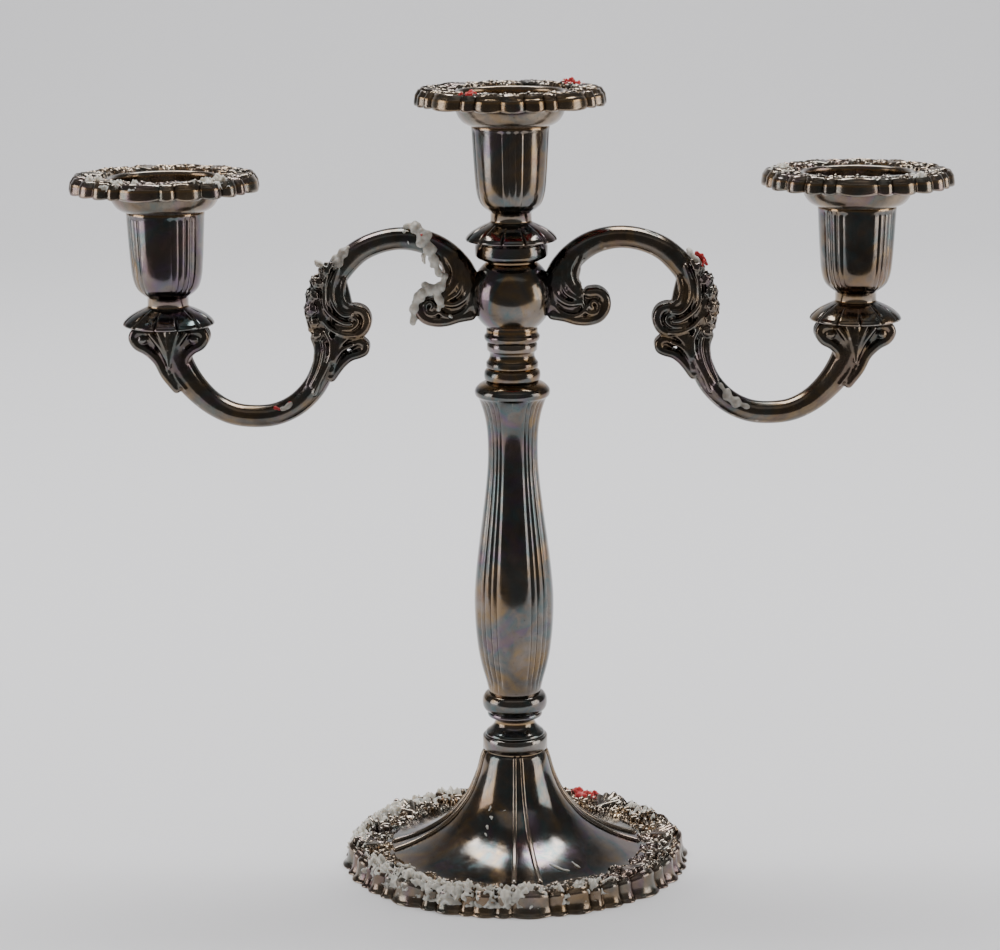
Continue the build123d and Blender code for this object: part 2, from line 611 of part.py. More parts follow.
def build():
    os.makedirs("parts", exist_ok=True)
    save("foot", make_foot())
    save("bottom_plate", make_bottom_plate())
    save("base_felt", make_base_felt())
    save("rod_washer", make_rod_washer())
    save("rod_nut", make_rod_nut())
    save("tie_rod", make_tie_rod())
    save("foot_collar", make_foot_collar())
    save("knop", make_knop())
    save("column", make_column())
    save("neck_socket", make_neck())
    save("branch_spigot", make_spigot())
    save("hub_rod", make_hub_rod())
    save("hub_ring", make_hub_ring())
    save("hub_ball", make_hub_ball())
    save("hub_collar", make_hub_collar())
    arm = make_arm()
    save("arm_right", arm)
    save("arm_left", Rot(0, 0, 180) * arm)

    nut_radius = NUT_ACROSS_FLATS / sqrt(3)
    pan = make_pan()
    for name, x, seat, nozzle_turn, pan_turn in LIGHTS:
        centre = name == "centre"
        hole = ROD_HOLE_RADIUS if centre else SCREW_HOLE_RADIUS
        pocket = (nut_radius if centre else SCREW_HEAD_RADIUS) + SEAT_GAP
        nozzle_z = seat + SKIRT_HEIGHT
        save(f"skirt_{name}", Pos(x, 0, seat) * make_skirt(hole))
        save(f"nozzle_{name}", Pos(x, 0, nozzle_z) * Rot(0, 0, nozzle_turn) * make_nozzle(hole, pocket))
        save(f"wax_pan_{name}", Pos(x, 0, nozzle_z + NOZZLE_HEIGHT) * Rot(0, 0, pan_turn) * pan)
        if centre:
            nut_z = nozzle_pocket_z(seat)
            save("nozzle_nut_centre", hexagon_nut(NUT_ACROSS_FLATS, hole, nut_z, nut_z + SCREW_HEAD_HEIGHT))
        else:
            save(f"nozzle_screw_{name}", Pos(x, 0, 0) * make_screw(seat))


build()
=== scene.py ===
"""A three-light candelabrum in tarnished silver plate, with old candle wax on it.

Every piece is drawn in millimetres about its own axis and put where the CAD frame says.
"""

from math import ceil, cos, pi, radians, sin

import bmesh
import bpy
import numpy as np
from mathutils import Matrix, Vector, noise as field


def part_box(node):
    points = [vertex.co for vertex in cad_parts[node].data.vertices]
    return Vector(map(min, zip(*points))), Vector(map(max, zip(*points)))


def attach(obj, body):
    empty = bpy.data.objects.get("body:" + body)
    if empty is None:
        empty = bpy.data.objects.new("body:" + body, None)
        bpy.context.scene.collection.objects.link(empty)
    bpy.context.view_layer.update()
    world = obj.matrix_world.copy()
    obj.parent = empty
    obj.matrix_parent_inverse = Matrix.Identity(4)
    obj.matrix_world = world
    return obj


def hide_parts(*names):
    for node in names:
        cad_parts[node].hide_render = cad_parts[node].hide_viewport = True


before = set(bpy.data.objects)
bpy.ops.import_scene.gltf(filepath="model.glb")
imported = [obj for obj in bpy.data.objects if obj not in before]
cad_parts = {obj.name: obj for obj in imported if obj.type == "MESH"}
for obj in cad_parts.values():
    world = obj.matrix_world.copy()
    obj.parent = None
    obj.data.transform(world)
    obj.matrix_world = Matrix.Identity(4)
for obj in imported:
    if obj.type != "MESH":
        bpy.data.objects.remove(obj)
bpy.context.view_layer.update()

MM = 0.001
ROD_HOLE = 3.06
SCREW_HOLE = 2.56
SIDES = ("left", "centre", "right")

# ---------------------------------------------------------------- camera

CAMERA_PLACE = Vector((0.0, -1.05, 0.375))
CAMERA_AIM = Vector((-0.0047, 0.0, 0.145))
CAMERA_LENS = 107.65
CAMERA_ROLL = -0.5  # degrees


def make_camera():
    data = bpy.data.cameras.new("camera")
    data.lens = CAMERA_LENS
    data.sensor_width = 36.0
    camera = bpy.data.objects.new("camera", data)
    bpy.context.scene.collection.objects.link(camera)
    turn = (CAMERA_AIM - CAMERA_PLACE).to_track_quat("-Z", "Y").to_matrix().to_4x4()
    roll = Matrix.Rotation(radians(CAMERA_ROLL), 4, "Z")
    camera.matrix_world = Matrix.Translation(CAMERA_PLACE) @ turn @ roll
    bpy.context.scene.camera = camera


# ---------------------------------------------------------------- lines and outlines


def curve(points, step):
    """Points about one step apart on a smooth line through the given ones."""
    given = [np.array(point, float) for point in points]
    ends = [2 * given[0] - given[1], *given, 2 * given[-1] - given[-2]]
    line = [given[0]]
    for a, b, c, d in zip(ends, ends[1:], ends[2:], ends[3:]):
        count = max(1, ceil(np.linalg.norm(c - b) / step))
        for part in range(1, count + 1):
            t = part / count
            bend = 2 * b + (c - a) * t + (2 * a - 5 * b + 4 * c - d) * t**2
            line.append(0.5 * (bend + (3 * b - a - 3 * c + d) * t**3))
    return line


def outline(*runs, step=0.8):
    """One outline from several runs, each smooth in itself, which meet at corners."""
    points = []
    for run in runs:
        line = curve(run, step) if len(run) > 2 else [np.array(point, float) for point in run]
        if points and np.allclose(points[-1], line[0]):
            line = line[1:]
        points += line
    return [(float(point[0]), float(point[1])) for point in points]


def turned(points, steps):
    """A closed skin: an outline of (radius, height) spun about Z, its end joined to its start.

    One narrow sector is spun, then doubled five times; steps is a multiple of 32.
    """
    bm = bmesh.new()
    verts = [bm.verts.new((radius, 0, height)) for radius, height in points]
    edges = [bm.edges.new(pair) for pair in zip(verts, verts[1:] + verts[:1])]
    sector = 2 * pi / 32
    bmesh.ops.spin(bm, geom=verts + edges, axis=(0, 0, 1), angle=sector, steps=steps // 32)
    for _ in range(5):
        copy = bmesh.ops.duplicate(bm, geom=bm.verts[:] + bm.edges[:] + bm.faces[:])
        added = [part for part in copy["geom"] if isinstance(part, bmesh.types.BMVert)]
        bmesh.ops.rotate(bm, verts=added, matrix=Matrix.Rotation(sector, 3, "Z"))
        sector *= 2
    bmesh.ops.remove_doubles(bm, verts=bm.verts, dist=1e-4)
    bmesh.ops.recalc_face_normals(bm, faces=bm.faces)
    return bm


# ---------------------------------------------------------------- pieces


def read_points(mesh):
    points = np.empty(len(mesh.vertices) * 3)
    mesh.vertices.foreach_get("co", points)
    return points.reshape(-1, 3)


def write_points(mesh, points):
    mesh.vertices.foreach_set("co", points.reshape(-1))
    mesh.update()


def paint(mesh, name, values):
    """Keeps a number at each vertex for the material to read."""
    layer = mesh.attributes.new(name, "FLOAT", "POINT")
    layer.data.foreach_set("value", np.asarray(values, dtype=np.float32))


def make_piece(name, bm, body, material, stands_for=(), at=(0.0, 0.0, 0.0), turn=0.0, shape=None):
    """Makes an object from a mesh drawn in millimetres; shape may move its points before it is placed."""
    mesh = bpy.data.meshes.new(name)
    bm.to_mesh(mesh)
    bm.free()
    if shape:
        points = read_points(mesh)
        painted = shape(points)
        write_points(mesh, points)
        for key, values in (painted or {}).items():
            paint(mesh, key, values)
    mesh.transform(Matrix.Translation(at) @ Matrix.Rotation(radians(turn), 4, "Z") @ Matrix.Scale(MM, 4))
    mesh.shade_smooth()
    mesh.set_sharp_from_angle(angle=radians(50))
    mesh.materials.append(material)
    piece = bpy.data.objects.new(name, mesh)
    bpy.context.scene.collection.objects.link(piece)
    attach(piece, body)
    if stands_for:
        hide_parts(*stands_for)
    return piece


def seat_of(node):
    """The middle of a node's underside."""
    low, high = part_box(node)
    return ((low[0] + high[0]) / 2, (low[1] + high[1]) / 2, low[2])


def fused(bm, voxel, smoothing):
    """The skin round everything in a mesh drawn in millimetres, as one cast surface."""
    mesh = bpy.data.meshes.new("rough")
    bm.to_mesh(mesh)
    bm.free()
    rough = bpy.data.objects.new("rough", mesh)
    bpy.context.scene.collection.objects.link(rough)
    remesh = rough.modifiers.new("remesh", "REMESH")
    remesh.mode = "VOXEL"
    remesh.voxel_size = voxel
    smooth = rough.modifiers.new("smooth", "SMOOTH")
    smooth.factor = 0.5
    smooth.iterations = smoothing
    bpy.context.view_layer.update()
    done = bpy.data.meshes.new_from_object(rough.evaluated_get(bpy.context.evaluated_depsgraph_get()))
    bpy.data.objects.remove(rough)
    skin = bmesh.new()
    skin.from_mesh(done)
    bpy.data.meshes.remove(done)
    bpy.data.meshes.remove(mesh)
    return skin


def rounded(stroke):
    """A stroke with its ends closed by half balls; a stroke of one point becomes a ball."""
    points = [np.array(point, float) for point in stroke]
    if len(points) == 1:
        points = [points[0], points[0] + (1e-3, 0, 0, 0)]
    caps = []
    for end, beside in ((points[0], points[1]), (points[-1], points[-2])):
        away = (end - beside)[:3]
        away /= max(np.linalg.norm(away), 1e-9)
        caps.append([
            (*(end[:3] + away * end[3] * sin(lean)), end[3] * max(cos(lean), 0.02))
            for lean in (pi / 2, 1.2, 0.8, 0.4)
        ])
    return caps[0] + [tuple(point) for point in points] + caps[1][::-1]


def add_tubes(bm, strokes, sides=6):
    """Adds round strokes to a mesh. Each stroke is a list of (x, y, z, radius) along its middle."""
    data = bpy.data.curves.new("strokes", "CURVE")
    data.dimensions = "3D"
    data.bevel_depth = 1.0
    data.bevel_resolution = sides
    data.use_fill_caps = True
    for stroke in map(rounded, strokes):
        spline = data.splines.new("POLY")
        spline.points.add(len(stroke) - 1)
        for point, (x, y, z, radius) in zip(spline.points, stroke):
            point.co = (x, y, z, 1.0)
            point.radius = radius
    holder = bpy.data.objects.new("strokes", data)
    bpy.context.scene.collection.objects.link(holder)
    bpy.context.view_layer.update()
    mesh = bpy.data.meshes.new_from_object(holder.evaluated_get(bpy.context.evaluated_depsgraph_get()))
    bm.from_mesh(mesh)
    bpy.data.objects.remove(holder)
    bpy.data.curves.remove(data)
    bpy.data.meshes.remove(mesh)


def add_ball(bm, place, radius, flatten=(1, 1, 1), subdivisions=2):
    matrix = Matrix.Translation(place) @ Matrix.Diagonal((*flatten, 1)).to_4x4()
    bmesh.ops.create_icosphere(bm, subdivisions=subdivisions, radius=radius, matrix=matrix)


# ---------------------------------------------------------------- relief

# Relief is built up from round beads of (along, across, radius, height), all in millimetres.


def bead_line(points, wide, high, ends=(0.4, 0.4), step=0.35):
    """Beads along a smooth line, thinner towards its ends."""
    line = curve(points, step)
    beads = []
    for index, (along, across) in enumerate(line):
        share = index / (len(line) - 1)
        swell = 1 - (1 - ends[0]) * (1 - share) ** 2 - (1 - ends[1]) * share**2
        beads.append((along, across, wide * swell, high * (0.55 + 0.45 * swell)))
    return beads


def polar(centre, angle, radius):
    return (centre[0] + radius * cos(radians(angle)), centre[1] + radius * sin(radians(angle)))


def daisy(centre, size, petals, high, turn=0.0):
    beads = [(*centre, 0.30 * size, 1.12 * high)]
    for petal in range(petals):
        angle = turn + 360 * petal / petals
        tip, root = polar(centre, angle, 0.82 * size), polar(centre, angle, 0.36 * size)
        middle = polar(centre, angle, 0.6 * size)
        beads += bead_line((root, middle, tip), 2.1 * size / petals, 0.85 * high, ends=(0.5, 0.85))
    return beads


def leaf(root, tip, bend, wide, high):
    """A pointed leaf with a midrib and side lobes."""
    root, tip = np.array(root, float), np.array(tip, float)
    across = np.array((-(tip - root)[1], (tip - root)[0])) * bend
    line = curve((root, (root + tip) / 2 + across, tip), 0.5)
    beads = bead_line([tuple(point) for point in (line[0], line[len(line) // 2], line[-1])], 0.4 * wide, high)
    for index in range(1, 5):
        place = line[len(line) * index // 6]
        ahead = (tip - root) / np.linalg.norm(tip - root)
        side = np.array((-ahead[1], ahead[0]))
        reach = wide * sin(pi * (index + 0.6) / 6)
        for sign in (-1, 1):
            end = place + ahead * 0.9 * reach + side * sign * reach
            beads += bead_line(
                (tuple(place), tuple((place + end) / 2 + ahead * 0.2), tuple(end)), 0.36 * wide, 0.72 * high,
            )
    return beads


def scroll(centre, size, start, sweep, high, wide=0.24):
    """A spiral that winds in to a round eye."""
    line = [polar(centre, start + sweep * share, size * (1 - 0.72 * share)) for share in np.linspace(0, 1, 9)]
    return bead_line(line, wide * size, high, ends=(0.6, 0.8)) + [(*line[-1], 0.3 * size, 1.1 * high)]


def shell(root, angle, size, ribs, spread, high):
    beads = []
    for rib in range(ribs):
        lean = angle + spread * (rib / (ribs - 1) - 0.5)
        reach = size * (1 - 0.18 * abs(rib / (ribs - 1) - 0.5) * 2)
        beads += bead_line(
            (root, polar(root, lean, 0.5 * reach), polar(root, lean, reach)), 0.16 * size, high,
            ends=(0.25, 1.0),
        )
    return beads


def berries(centre, size, count, high, seed):
    rng = np.random.default_rng(seed)
    return [
        (
            *polar(centre, 137.5 * index + rng.uniform(-15, 15), size * (index / count) ** 0.5),
            0.36 * size, high * rng.uniform(0.7, 1),
        )
        for index in range(count)
    ]


def raised(along, across, beads, repeats, period, seed):
    """Height of the relief at each point, from one repeat's beads laid all round, each a little different."""
    rng = np.random.default_rng(seed)
    height = np.zeros_like(along)
    whole = repeats * period
    order = np.argsort(along)
    ranked = along[order]
    for repeat in range(repeats):
        sway, grow = rng.uniform(-0.35, 0.35, 2), rng.uniform(0.92, 1.08)
        for bead_along, bead_across, radius, high in beads:
            middle = (bead_along + sway[0] + (repeat + 0.5) * period) % whole - whole / 2
            across_middle = bead_across + sway[1]
            for shift in (-whole, 0, whole):
                low, high_end = np.searchsorted(ranked, (middle + shift - radius, middle + shift + radius))
                near = order[low:high_end]
                if len(near) == 0:
                    continue
                gap = ((along[near] - middle - shift) ** 2 + (across[near] - across_middle) ** 2) / radius**2
                lift = high * grow * np.sqrt(np.clip(1 - gap, 0, None))
                height[near] = np.maximum(height[near], lift)
    return height


def lobes(angle, widths):
    """How far each angle in degrees stands out: 0 at a crease, up to 1 in the middle of a wide lobe."""
    period = sum(widths)
    place = (angle + widths[0] / 2) % period
    result = np.zeros_like(place)
    start = 0.0
    for width in widths:
        inside = (place >= start) & (place < start + width)
        share = (place[inside] - start) / width
        result[inside] = min(1.0, 0.35 + width / 25) * (1 - (2 * share - 1) ** 2)
        start += width
    return result


# ---------------------------------------------------------------- materials


def add_node(tree, kind, inputs=None, **settings):
    node = tree.nodes.new(kind)
    for key, value in settings.items():
        setattr(node, key, value)
    for key, value in (inputs or {}).items():
        if isinstance(value, bpy.types.NodeSocket):
            tree.links.new(value, node.inputs[key])
        else:
            node.inputs[key].default_value = value
    return node


def mix_colours(tree, factor, first, second, blend="MIX"):
    node = add_node(tree, "ShaderNodeMix", data_type="RGBA", blend_type=blend)
    for index, value in ((0, factor), (6, first), (7, second)):
        if isinstance(value, bpy.types.NodeSocket):
            tree.links.new(value, node.inputs[index])
        else:
            node.inputs[index].default_value = value
    return node.outputs[2]


def maths(tree, operation, first, second=0.0, clamp=False):
    node = add_node(tree, "ShaderNodeMath", operation=operation, use_clamp=clamp)
    for index, value in enumerate((first, second)):
        if isinstance(value, bpy.types.NodeSocket):
            tree.links.new(value, node.inputs[index])
        else:
            node.inputs[index].default_value = value
    return node.outputs[0]


def ramp(tree, factor, stops):
    node = add_node(tree, "ShaderNodeValToRGB", {"Fac": factor})
    elements = node.color_ramp.elements
    while len(elements) < len(stops):
        elements.new(0.5)
    for element, (place, colour) in zip(elements, stops):
        element.position = place
        element.color = (*colour, 1.0)
    return node.outputs["Color"]


def spread(tree, value, low, high, to_low=0.0, to_high=1.0):
    node = add_node(
        tree, "ShaderNodeMapRange",
        {"Value": value, "From Min": low, "From Max": high, "To Min": to_low, "To Max": to_high},
    )
    return node.outputs["Result"]


def noise(tree, place, scale, detail=3.0, rough=0.55, distortion=0.0):
    node = add_node(
        tree, "ShaderNodeTexNoise",
        {"Vector": place, "Scale": scale, "Detail": detail, "Roughness": rough, "Distortion": distortion},
    )
    return node.outputs["Fac"]


def new_group(name, inputs, outputs):
    """A shader node group with its named sockets; gives the group and its inner input and output nodes."""
    group = bpy.data.node_groups.new(name, "ShaderNodeTree")
    for label, kind in inputs:
        group.interface.new_socket(label, in_out="INPUT", socket_type=kind)
    for label, kind in outputs:
        group.interface.new_socket(label, in_out="OUTPUT", socket_type=kind)
    return group, group.nodes.new("NodeGroupInput"), group.nodes.new("NodeGroupOutput")


COLOUR, FLOAT = "NodeSocketColor", "NodeSocketFloat"


def make_tarnish_group():
    """Cloudy tarnish over silver, darker in the recesses and paler on the high points."""
    group, given, result = new_group(
        "tarnish",
        (
            ("Dark", COLOUR), ("Pale", COLOUR), ("Warm", COLOUR), ("Tint", FLOAT), ("Wear", FLOAT),
            ("Warm reflection", FLOAT), ("Polish", FLOAT),
        ),
        (("Color", COLOUR), ("Roughness", FLOAT), ("Height", FLOAT)),
    )
    socket = given.outputs
    place = add_node(group, "ShaderNodeTexCoord").outputs["Object"]
    clouds = noise(group, place, 60.0, 5.0, 0.6, 0.4)
    blotches = noise(group, place, 210.0, 4.0, 0.6, 0.8)
    body = mix_colours(group, spread(group, clouds, 0.36, 0.66), socket["Dark"], socket["Pale"])
    film = ramp(
        group,
        noise(group, place, 38.0, 2.0, 0.5, 1.2),
        (
            (0.30, (0.17, 0.10, 0.075)),
            (0.40, (0.26, 0.17, 0.07)),
            (0.47, (0.10, 0.115, 0.12)),
            (0.54, (0.05, 0.12, 0.135)),
            (0.61, (0.12, 0.085, 0.15)),
            (0.70, (0.20, 0.125, 0.115)),
        ),
    )
    patchy = maths(group, "MULTIPLY", socket["Tint"], spread(group, blotches, 0.35, 0.6))
    stained = mix_colours(group, patchy, body, film)
    crevice = add_node(group, "ShaderNodeNewGeometry").outputs["Pointiness"]
    worn = maths(group, "MULTIPLY", spread(group, crevice, 0.505, 0.60), socket["Wear"], clamp=True)
    brightened = mix_colours(group, worn, stained, (0.56, 0.49, 0.43, 1.0))
    grimy = maths(group, "MULTIPLY", spread(group, crevice, 0.495, 0.42), 0.9, clamp=True)
    soiled = mix_colours(group, grimy, brightened, (0.045, 0.028, 0.018, 1.0))
    # painted warm reflection: the warm colour mixed over the tarnish where the mesh is painted with it
    golden = mix_colours(group, socket["Warm reflection"], soiled, socket["Warm"])
    specks = spread(group, noise(group, place, 1500.0, 2.0, 0.5), 0.66, 0.74)
    final = mix_colours(group, maths(group, "MULTIPLY", specks, 0.55), golden, (0.03, 0.022, 0.018, 1.0))
    group.links.new(final, result.inputs["Color"])
    blotched = spread(group, blotches, 0.3, 0.75, 0.0, 0.10)
    dull = maths(group, "ADD", blotched, spread(group, clouds, 0.35, 0.7, 0.0, 0.05))
    group.links.new(maths(group, "ADD", dull, socket["Polish"], clamp=True), result.inputs["Roughness"])
    pits = maths(group, "MULTIPLY", noise(group, place, 900.0, 3.0), 0.10)
    dents = maths(group, "ADD", maths(group, "MULTIPLY", clouds, 0.6), pits)
    group.links.new(dents, result.inputs["Height"])
    return group


def new_material(name, **settings):
    """A material with a Principled shader; settings go on the shader's own sockets."""
    material = bpy.data.materials.new(name)
    material.use_nodes = True
    shader = material.node_tree.nodes["Principled BSDF"]
    for key, value in settings.items():
        shader.inputs[key.replace("_", " ")].default_value = value
    return material, material.node_tree, shader


WARM_REFLECTION = (0.36, 0.22, 0.09, 1.0)  # painted warm reflection: the golden colour laid on at necks and coves


def make_silver(name, tarnish, dark, pale, tint, wear, polish, bump=0.12):
    """Tarnished silver plate, with painted warm reflection: golden where a piece is painted with the warm
    value.
    """
    material, tree, shader = new_material(name, Metallic=1.0)
    # the painted warm reflection, read from the mesh
    warm_reflection = add_node(tree, "ShaderNodeAttribute", attribute_name="warm_reflection").outputs["Fac"]
    film = add_node(tree, "ShaderNodeGroup", node_tree=tarnish)
    given = {"Dark": dark, "Pale": pale, "Warm": WARM_REFLECTION, "Tint": tint, "Wear": wear, "Polish": polish}
    for key, value in given.items():
        film.inputs[key].default_value = value
    tree.links.new(warm_reflection, film.inputs["Warm reflection"])
    tree.links.new(film.outputs["Color"], shader.inputs["Base Color"])
    tree.links.new(film.outputs["Roughness"], shader.inputs["Roughness"])
    relief = add_node(
        tree, "ShaderNodeBump", {"Height": film.outputs["Height"], "Strength": bump, "Distance": 0.0004},
    )
    tree.links.new(relief.outputs["Normal"], shader.inputs["Normal"])
    return material


def make_wax_material(name, colour, deep):
    material, tree, shader = new_material(name, IOR=1.44, Subsurface_Weight=0.55, Subsurface_Scale=0.003)
    shader.inputs["Subsurface Radius"].default_value = (1.0, 0.85, 0.7)
    place = add_node(tree, "ShaderNodeTexCoord").outputs["Object"]
    cloud = noise(tree, place, 260.0, 4.0, 0.6)
    tree.links.new(
        mix_colours(tree, spread(tree, cloud, 0.35, 0.65), colour, deep), shader.inputs["Base Color"],
    )
    tree.links.new(spread(tree, cloud, 0.3, 0.7, 0.32, 0.62), shader.inputs["Roughness"])
    lumps = add_node(
        tree, "ShaderNodeBump",
        {"Height": noise(tree, place, 1300.0, 3.0), "Strength": 0.35, "Distance": 0.0003},
    )
    tree.links.new(lumps.outputs["Normal"], shader.inputs["Normal"])
    return material


def make_steel(name, colour, rough):
    material, tree, shader = new_material(name, Metallic=1.0)
    place = add_node(tree, "ShaderNodeTexCoord").outputs["Object"]
    cloud = noise(tree, place, 400.0, 4.0, 0.6)
    darker = tuple(0.55 * part for part in colour[:3]) + (1.0,)
    tree.links.new(
        mix_colours(tree, spread(tree, cloud, 0.35, 0.7), colour, darker), shader.inputs["Base Color"],
    )
    tree.links.new(spread(tree, cloud, 0.3, 0.7, rough, rough + 0.2), shader.inputs["Roughness"])
    return material


def make_felt(name):
    material, tree, shader = new_material(name, Sheen_Weight=0.6, Sheen_Roughness=0.5, Roughness=0.95)
    place = add_node(tree, "ShaderNodeTexCoord").outputs["Object"]
    fibres = noise(tree, place, 2600.0, 4.0, 0.7, 1.5)
    dark, pale = (0.008, 0.030, 0.015, 1.0), (0.03, 0.085, 0.045, 1.0)
    tree.links.new(mix_colours(tree, spread(tree, fibres, 0.3, 0.7), dark, pale), shader.inputs["Base Color"])
    nap = add_node(tree, "ShaderNodeBump", {"Height": fibres, "Strength": 0.6, "Distance": 0.0003})
    tree.links.new(nap.outputs["Normal"], shader.inputs["Normal"])
    return material


# ---------------------------------------------------------------- foot

FOOT_TURN = 5.0
FOOT_LOBES = (13.0, 5.5, 9.0, 4.5, 7.5, 5.5)
FOOT_BAND_MIDDLE = 54.0
FOOT_PERIOD = 2 * pi * FOOT_BAND_MIDDLE / 8
FOOT_TOP = ((44.0, 6.2), (49.0, 5.7), (54.0, 6.2), (58.0, 7.3), (60.6, 8.0))
FOOT_STEPS = 896  # round the rim, fine enough for its flowers
FOOT_EDGE = (
    (60.6, 8.0), (61.6, 7.9), (62.1, 7.0), (62.2, 5.2), (62.5, 3.2), (63.2, 1.4), (64.2, 0.5), (64.3, 0.0),
)


def angle_and_radius(points):
    return np.degrees(np.arctan2(points[:, 1], points[:, 0])), np.hypot(points[:, 0], points[:, 1])


def move_out(points, distance):
    """Moves points away from the axis."""
    radius = np.hypot(points[:, 0], points[:, 1])
    scale = 1 + distance / np.maximum(radius, 1e-6)
    points[:, 0] *= scale
    points[:, 1] *= scale


def foot_flowers():
    half = FOOT_PERIOD / 2
    beads = daisy((0.0, 0.6), 5.6, 9, 1.9)
    beads += daisy((-10.8, -2.8), 3.5, 6, 1.5, 20) + daisy((11.4, -2.0), 3.9, 7, 1.6)
    beads += daisy((-13.8, 3.4), 3.0, 6, 1.4, 10)
    beads += leaf((4.5, 3.6), (14.0, 5.0), -0.12, 2.3, 1.4) + leaf((-4.8, 3.2), (-11.5, 6.0), 0.1, 2.0, 1.3)
    beads += leaf((-2.5, -4.8), (-9.5, -7.6), -0.15, 2.0, 1.2)
    beads += leaf((3.5, -4.5), (9.5, -7.8), 0.15, 2.0, 1.2)
    beads += leaf((15.0, -1.0), (18.5, -8.2), 0.1, 2.1, 1.2)
    beads += leaf((-14.5, -1.5), (-19.0, -7.0), 0.1, 1.9, 1.1)
    beads += scroll((17.2, 1.6), 3.4, 200, 560, 1.5) + scroll((-18.4, 0.6), 3.2, -20, -560, 1.5)
    beads += shell((half, -4.5), 90, 9.5, 5, 70, 1.9)
    beads += berries((half, 4.6), 1.5, 6, 1.4, 8) + daisy((half, -6.2), 2.6, 6, 1.4)
    beads += berries((-6.2, -1.8), 1.7, 7, 1.5, 3) + berries((7.0, -3.6), 1.6, 6, 1.5, 4)
    beads += berries((9.6, 4.4), 1.4, 5, 1.3, 5)
    beads += bead_line(
        ((-half, 7.0), (-half / 2, 7.5), (0, 7.0), (half / 2, 7.5), (half, 7.0)), 0.8, 1.0, ends=(1, 1),
    )
    beads += bead_line(((-8.0, -6.6), (0.0, -7.6), (8.0, -6.6)), 0.6, 0.8)
    return beads


def foot_relief(points):
    """Height of the cast flowers over each point of the band."""
    angle, radius = angle_and_radius(points)
    along = np.radians(angle) * FOOT_BAND_MIDDLE
    height = 1.45 * raised(along, radius - FOOT_BAND_MIDDLE, foot_flowers(), 8, FOOT_PERIOD, 11)
    return height * np.clip((61.4 - radius) / 1.2, 0, 1)


def bend_foot_edge(points):
    """Lobes on the edge, the full height of its wall, with the crest rising over each lobe."""
    angle, radius = angle_and_radius(points)
    bulge = lobes(angle, FOOT_LOBES)
    share = np.clip((radius - 57.0) / 4.0, 0, 1) ** 2
    inside = (points[:, 2] < 4.4) & (radius < 60.0)
    move_out(points, np.where(inside, 0.0, -2.6 * (1 - bulge) * share))
    top = (points[:, 2] > 4.0) & (radius > 58.0)
    points[top, 2] += (1.5 * (bulge - 0.7) * np.clip((points[:, 2] - 4.0) / 3, 0, 1))[top]


def shape_foot_rim(points):
    radius = np.hypot(points[:, 0], points[:, 1])
    top = (points[:, 2] > 5.4) & (radius < 61.4)
    points[top, 2] += foot_relief(points[top])
    bend_foot_edge(points)
    return {"warm_reflection": np.zeros(len(points))}


def make_foot(silver, relief_silver):
    bell_outside = (
        (10.6, 42.3), (11.2, 41.7), (12.0, 39.8), (13.7, 33.6), (16.7, 26.4), (20.5, 20.9), (24.8, 16.3),
        (30.9, 12.2), (37.8, 8.9), (44.8, 6.6), (51.0, 5.6),
    )
    bell_inside = ((51.0, 4.4), (43.0, 5.2), (30.0, 10.4), (19.0, 19.6), (12.2, 32.0), (9.8, 39.4))
    bell = turned(
        outline(
            ((3.1, 42.8), (10.6, 42.8)), ((10.6, 42.8), (10.6, 42.3)), bell_outside,
            ((51.0, 5.6), (51.0, 4.4)), bell_inside, ((9.8, 39.4), (3.1, 39.4)),
        ),
        384,
    )
    at = (0, 0, 0)
    make_piece(
        "foot_bell", bell, "stand", silver, ("foot",), at, FOOT_TURN,
        lambda points: warm_reflection_bands(points, ((42.6, 0.5),)),
    )
    rim_outline = (
        outline(FOOT_TOP, step=0.42) + outline(FOOT_EDGE, step=0.45)[1:]
        + [(58.9, 0.0), (58.4, 0.4), (58.4, 2.4), (55.0, 2.4), (55.0, 3.9), (50.0, 4.3), (44.0, 5.0)]
    )
    make_piece(
        "foot_rim", turned(rim_outline, FOOT_STEPS), "stand", relief_silver, ("foot",), at,
        FOOT_TURN, shape_foot_rim,
    )
    ridges = bmesh.new()
    line = curve([(radius + 0.05, height + 0.05) for radius, height in bell_outside[1:-1]], 1.0)
    strokes = []
    for quarter in range(4):
        for side in (-1, 1):
            bearing = radians(90 * quarter + side * 6.0)
            strokes.append([
                (radius * cos(bearing), radius * sin(bearing), height, 0.5 + 0.5 * min(1.0, radius / 25))
                for radius, height in line
            ])
    add_tubes(ridges, strokes)
    make_piece("foot_ridges", ridges, "stand", relief_silver, ("foot",), at, FOOT_TURN)


def warm_reflection_bands(points, bands):
    """Painted warm reflection: how golden each point is, 1 at a band's height, falling to 0 over its spread.
    """
    warm_reflection = np.zeros(len(points))
    for height, reach in bands:
        warm_reflection = np.maximum(warm_reflection, np.clip(1 - np.abs(points[:, 2] - height) / reach, 0, 1))
    return {"warm_reflection": 0.7 * warm_reflection}


# ---------------------------------------------------------------- turned pieces of the stand and hub


def turned_piece(name, points, body, material, steps=192, bands=(), inner=ROD_HOLE):
    """A turned piece with a rod hole through it, placed on its CAD node's underside."""
    top, bottom = points[-1][1], points[0][1]
    full = [(inner, bottom), *points, (inner, top)]
    make_piece(
        f"{name}_skin", turned(full, steps), body, material, (name,), seat_of(name),
        shape=lambda place: warm_reflection_bands(place, bands),
    )


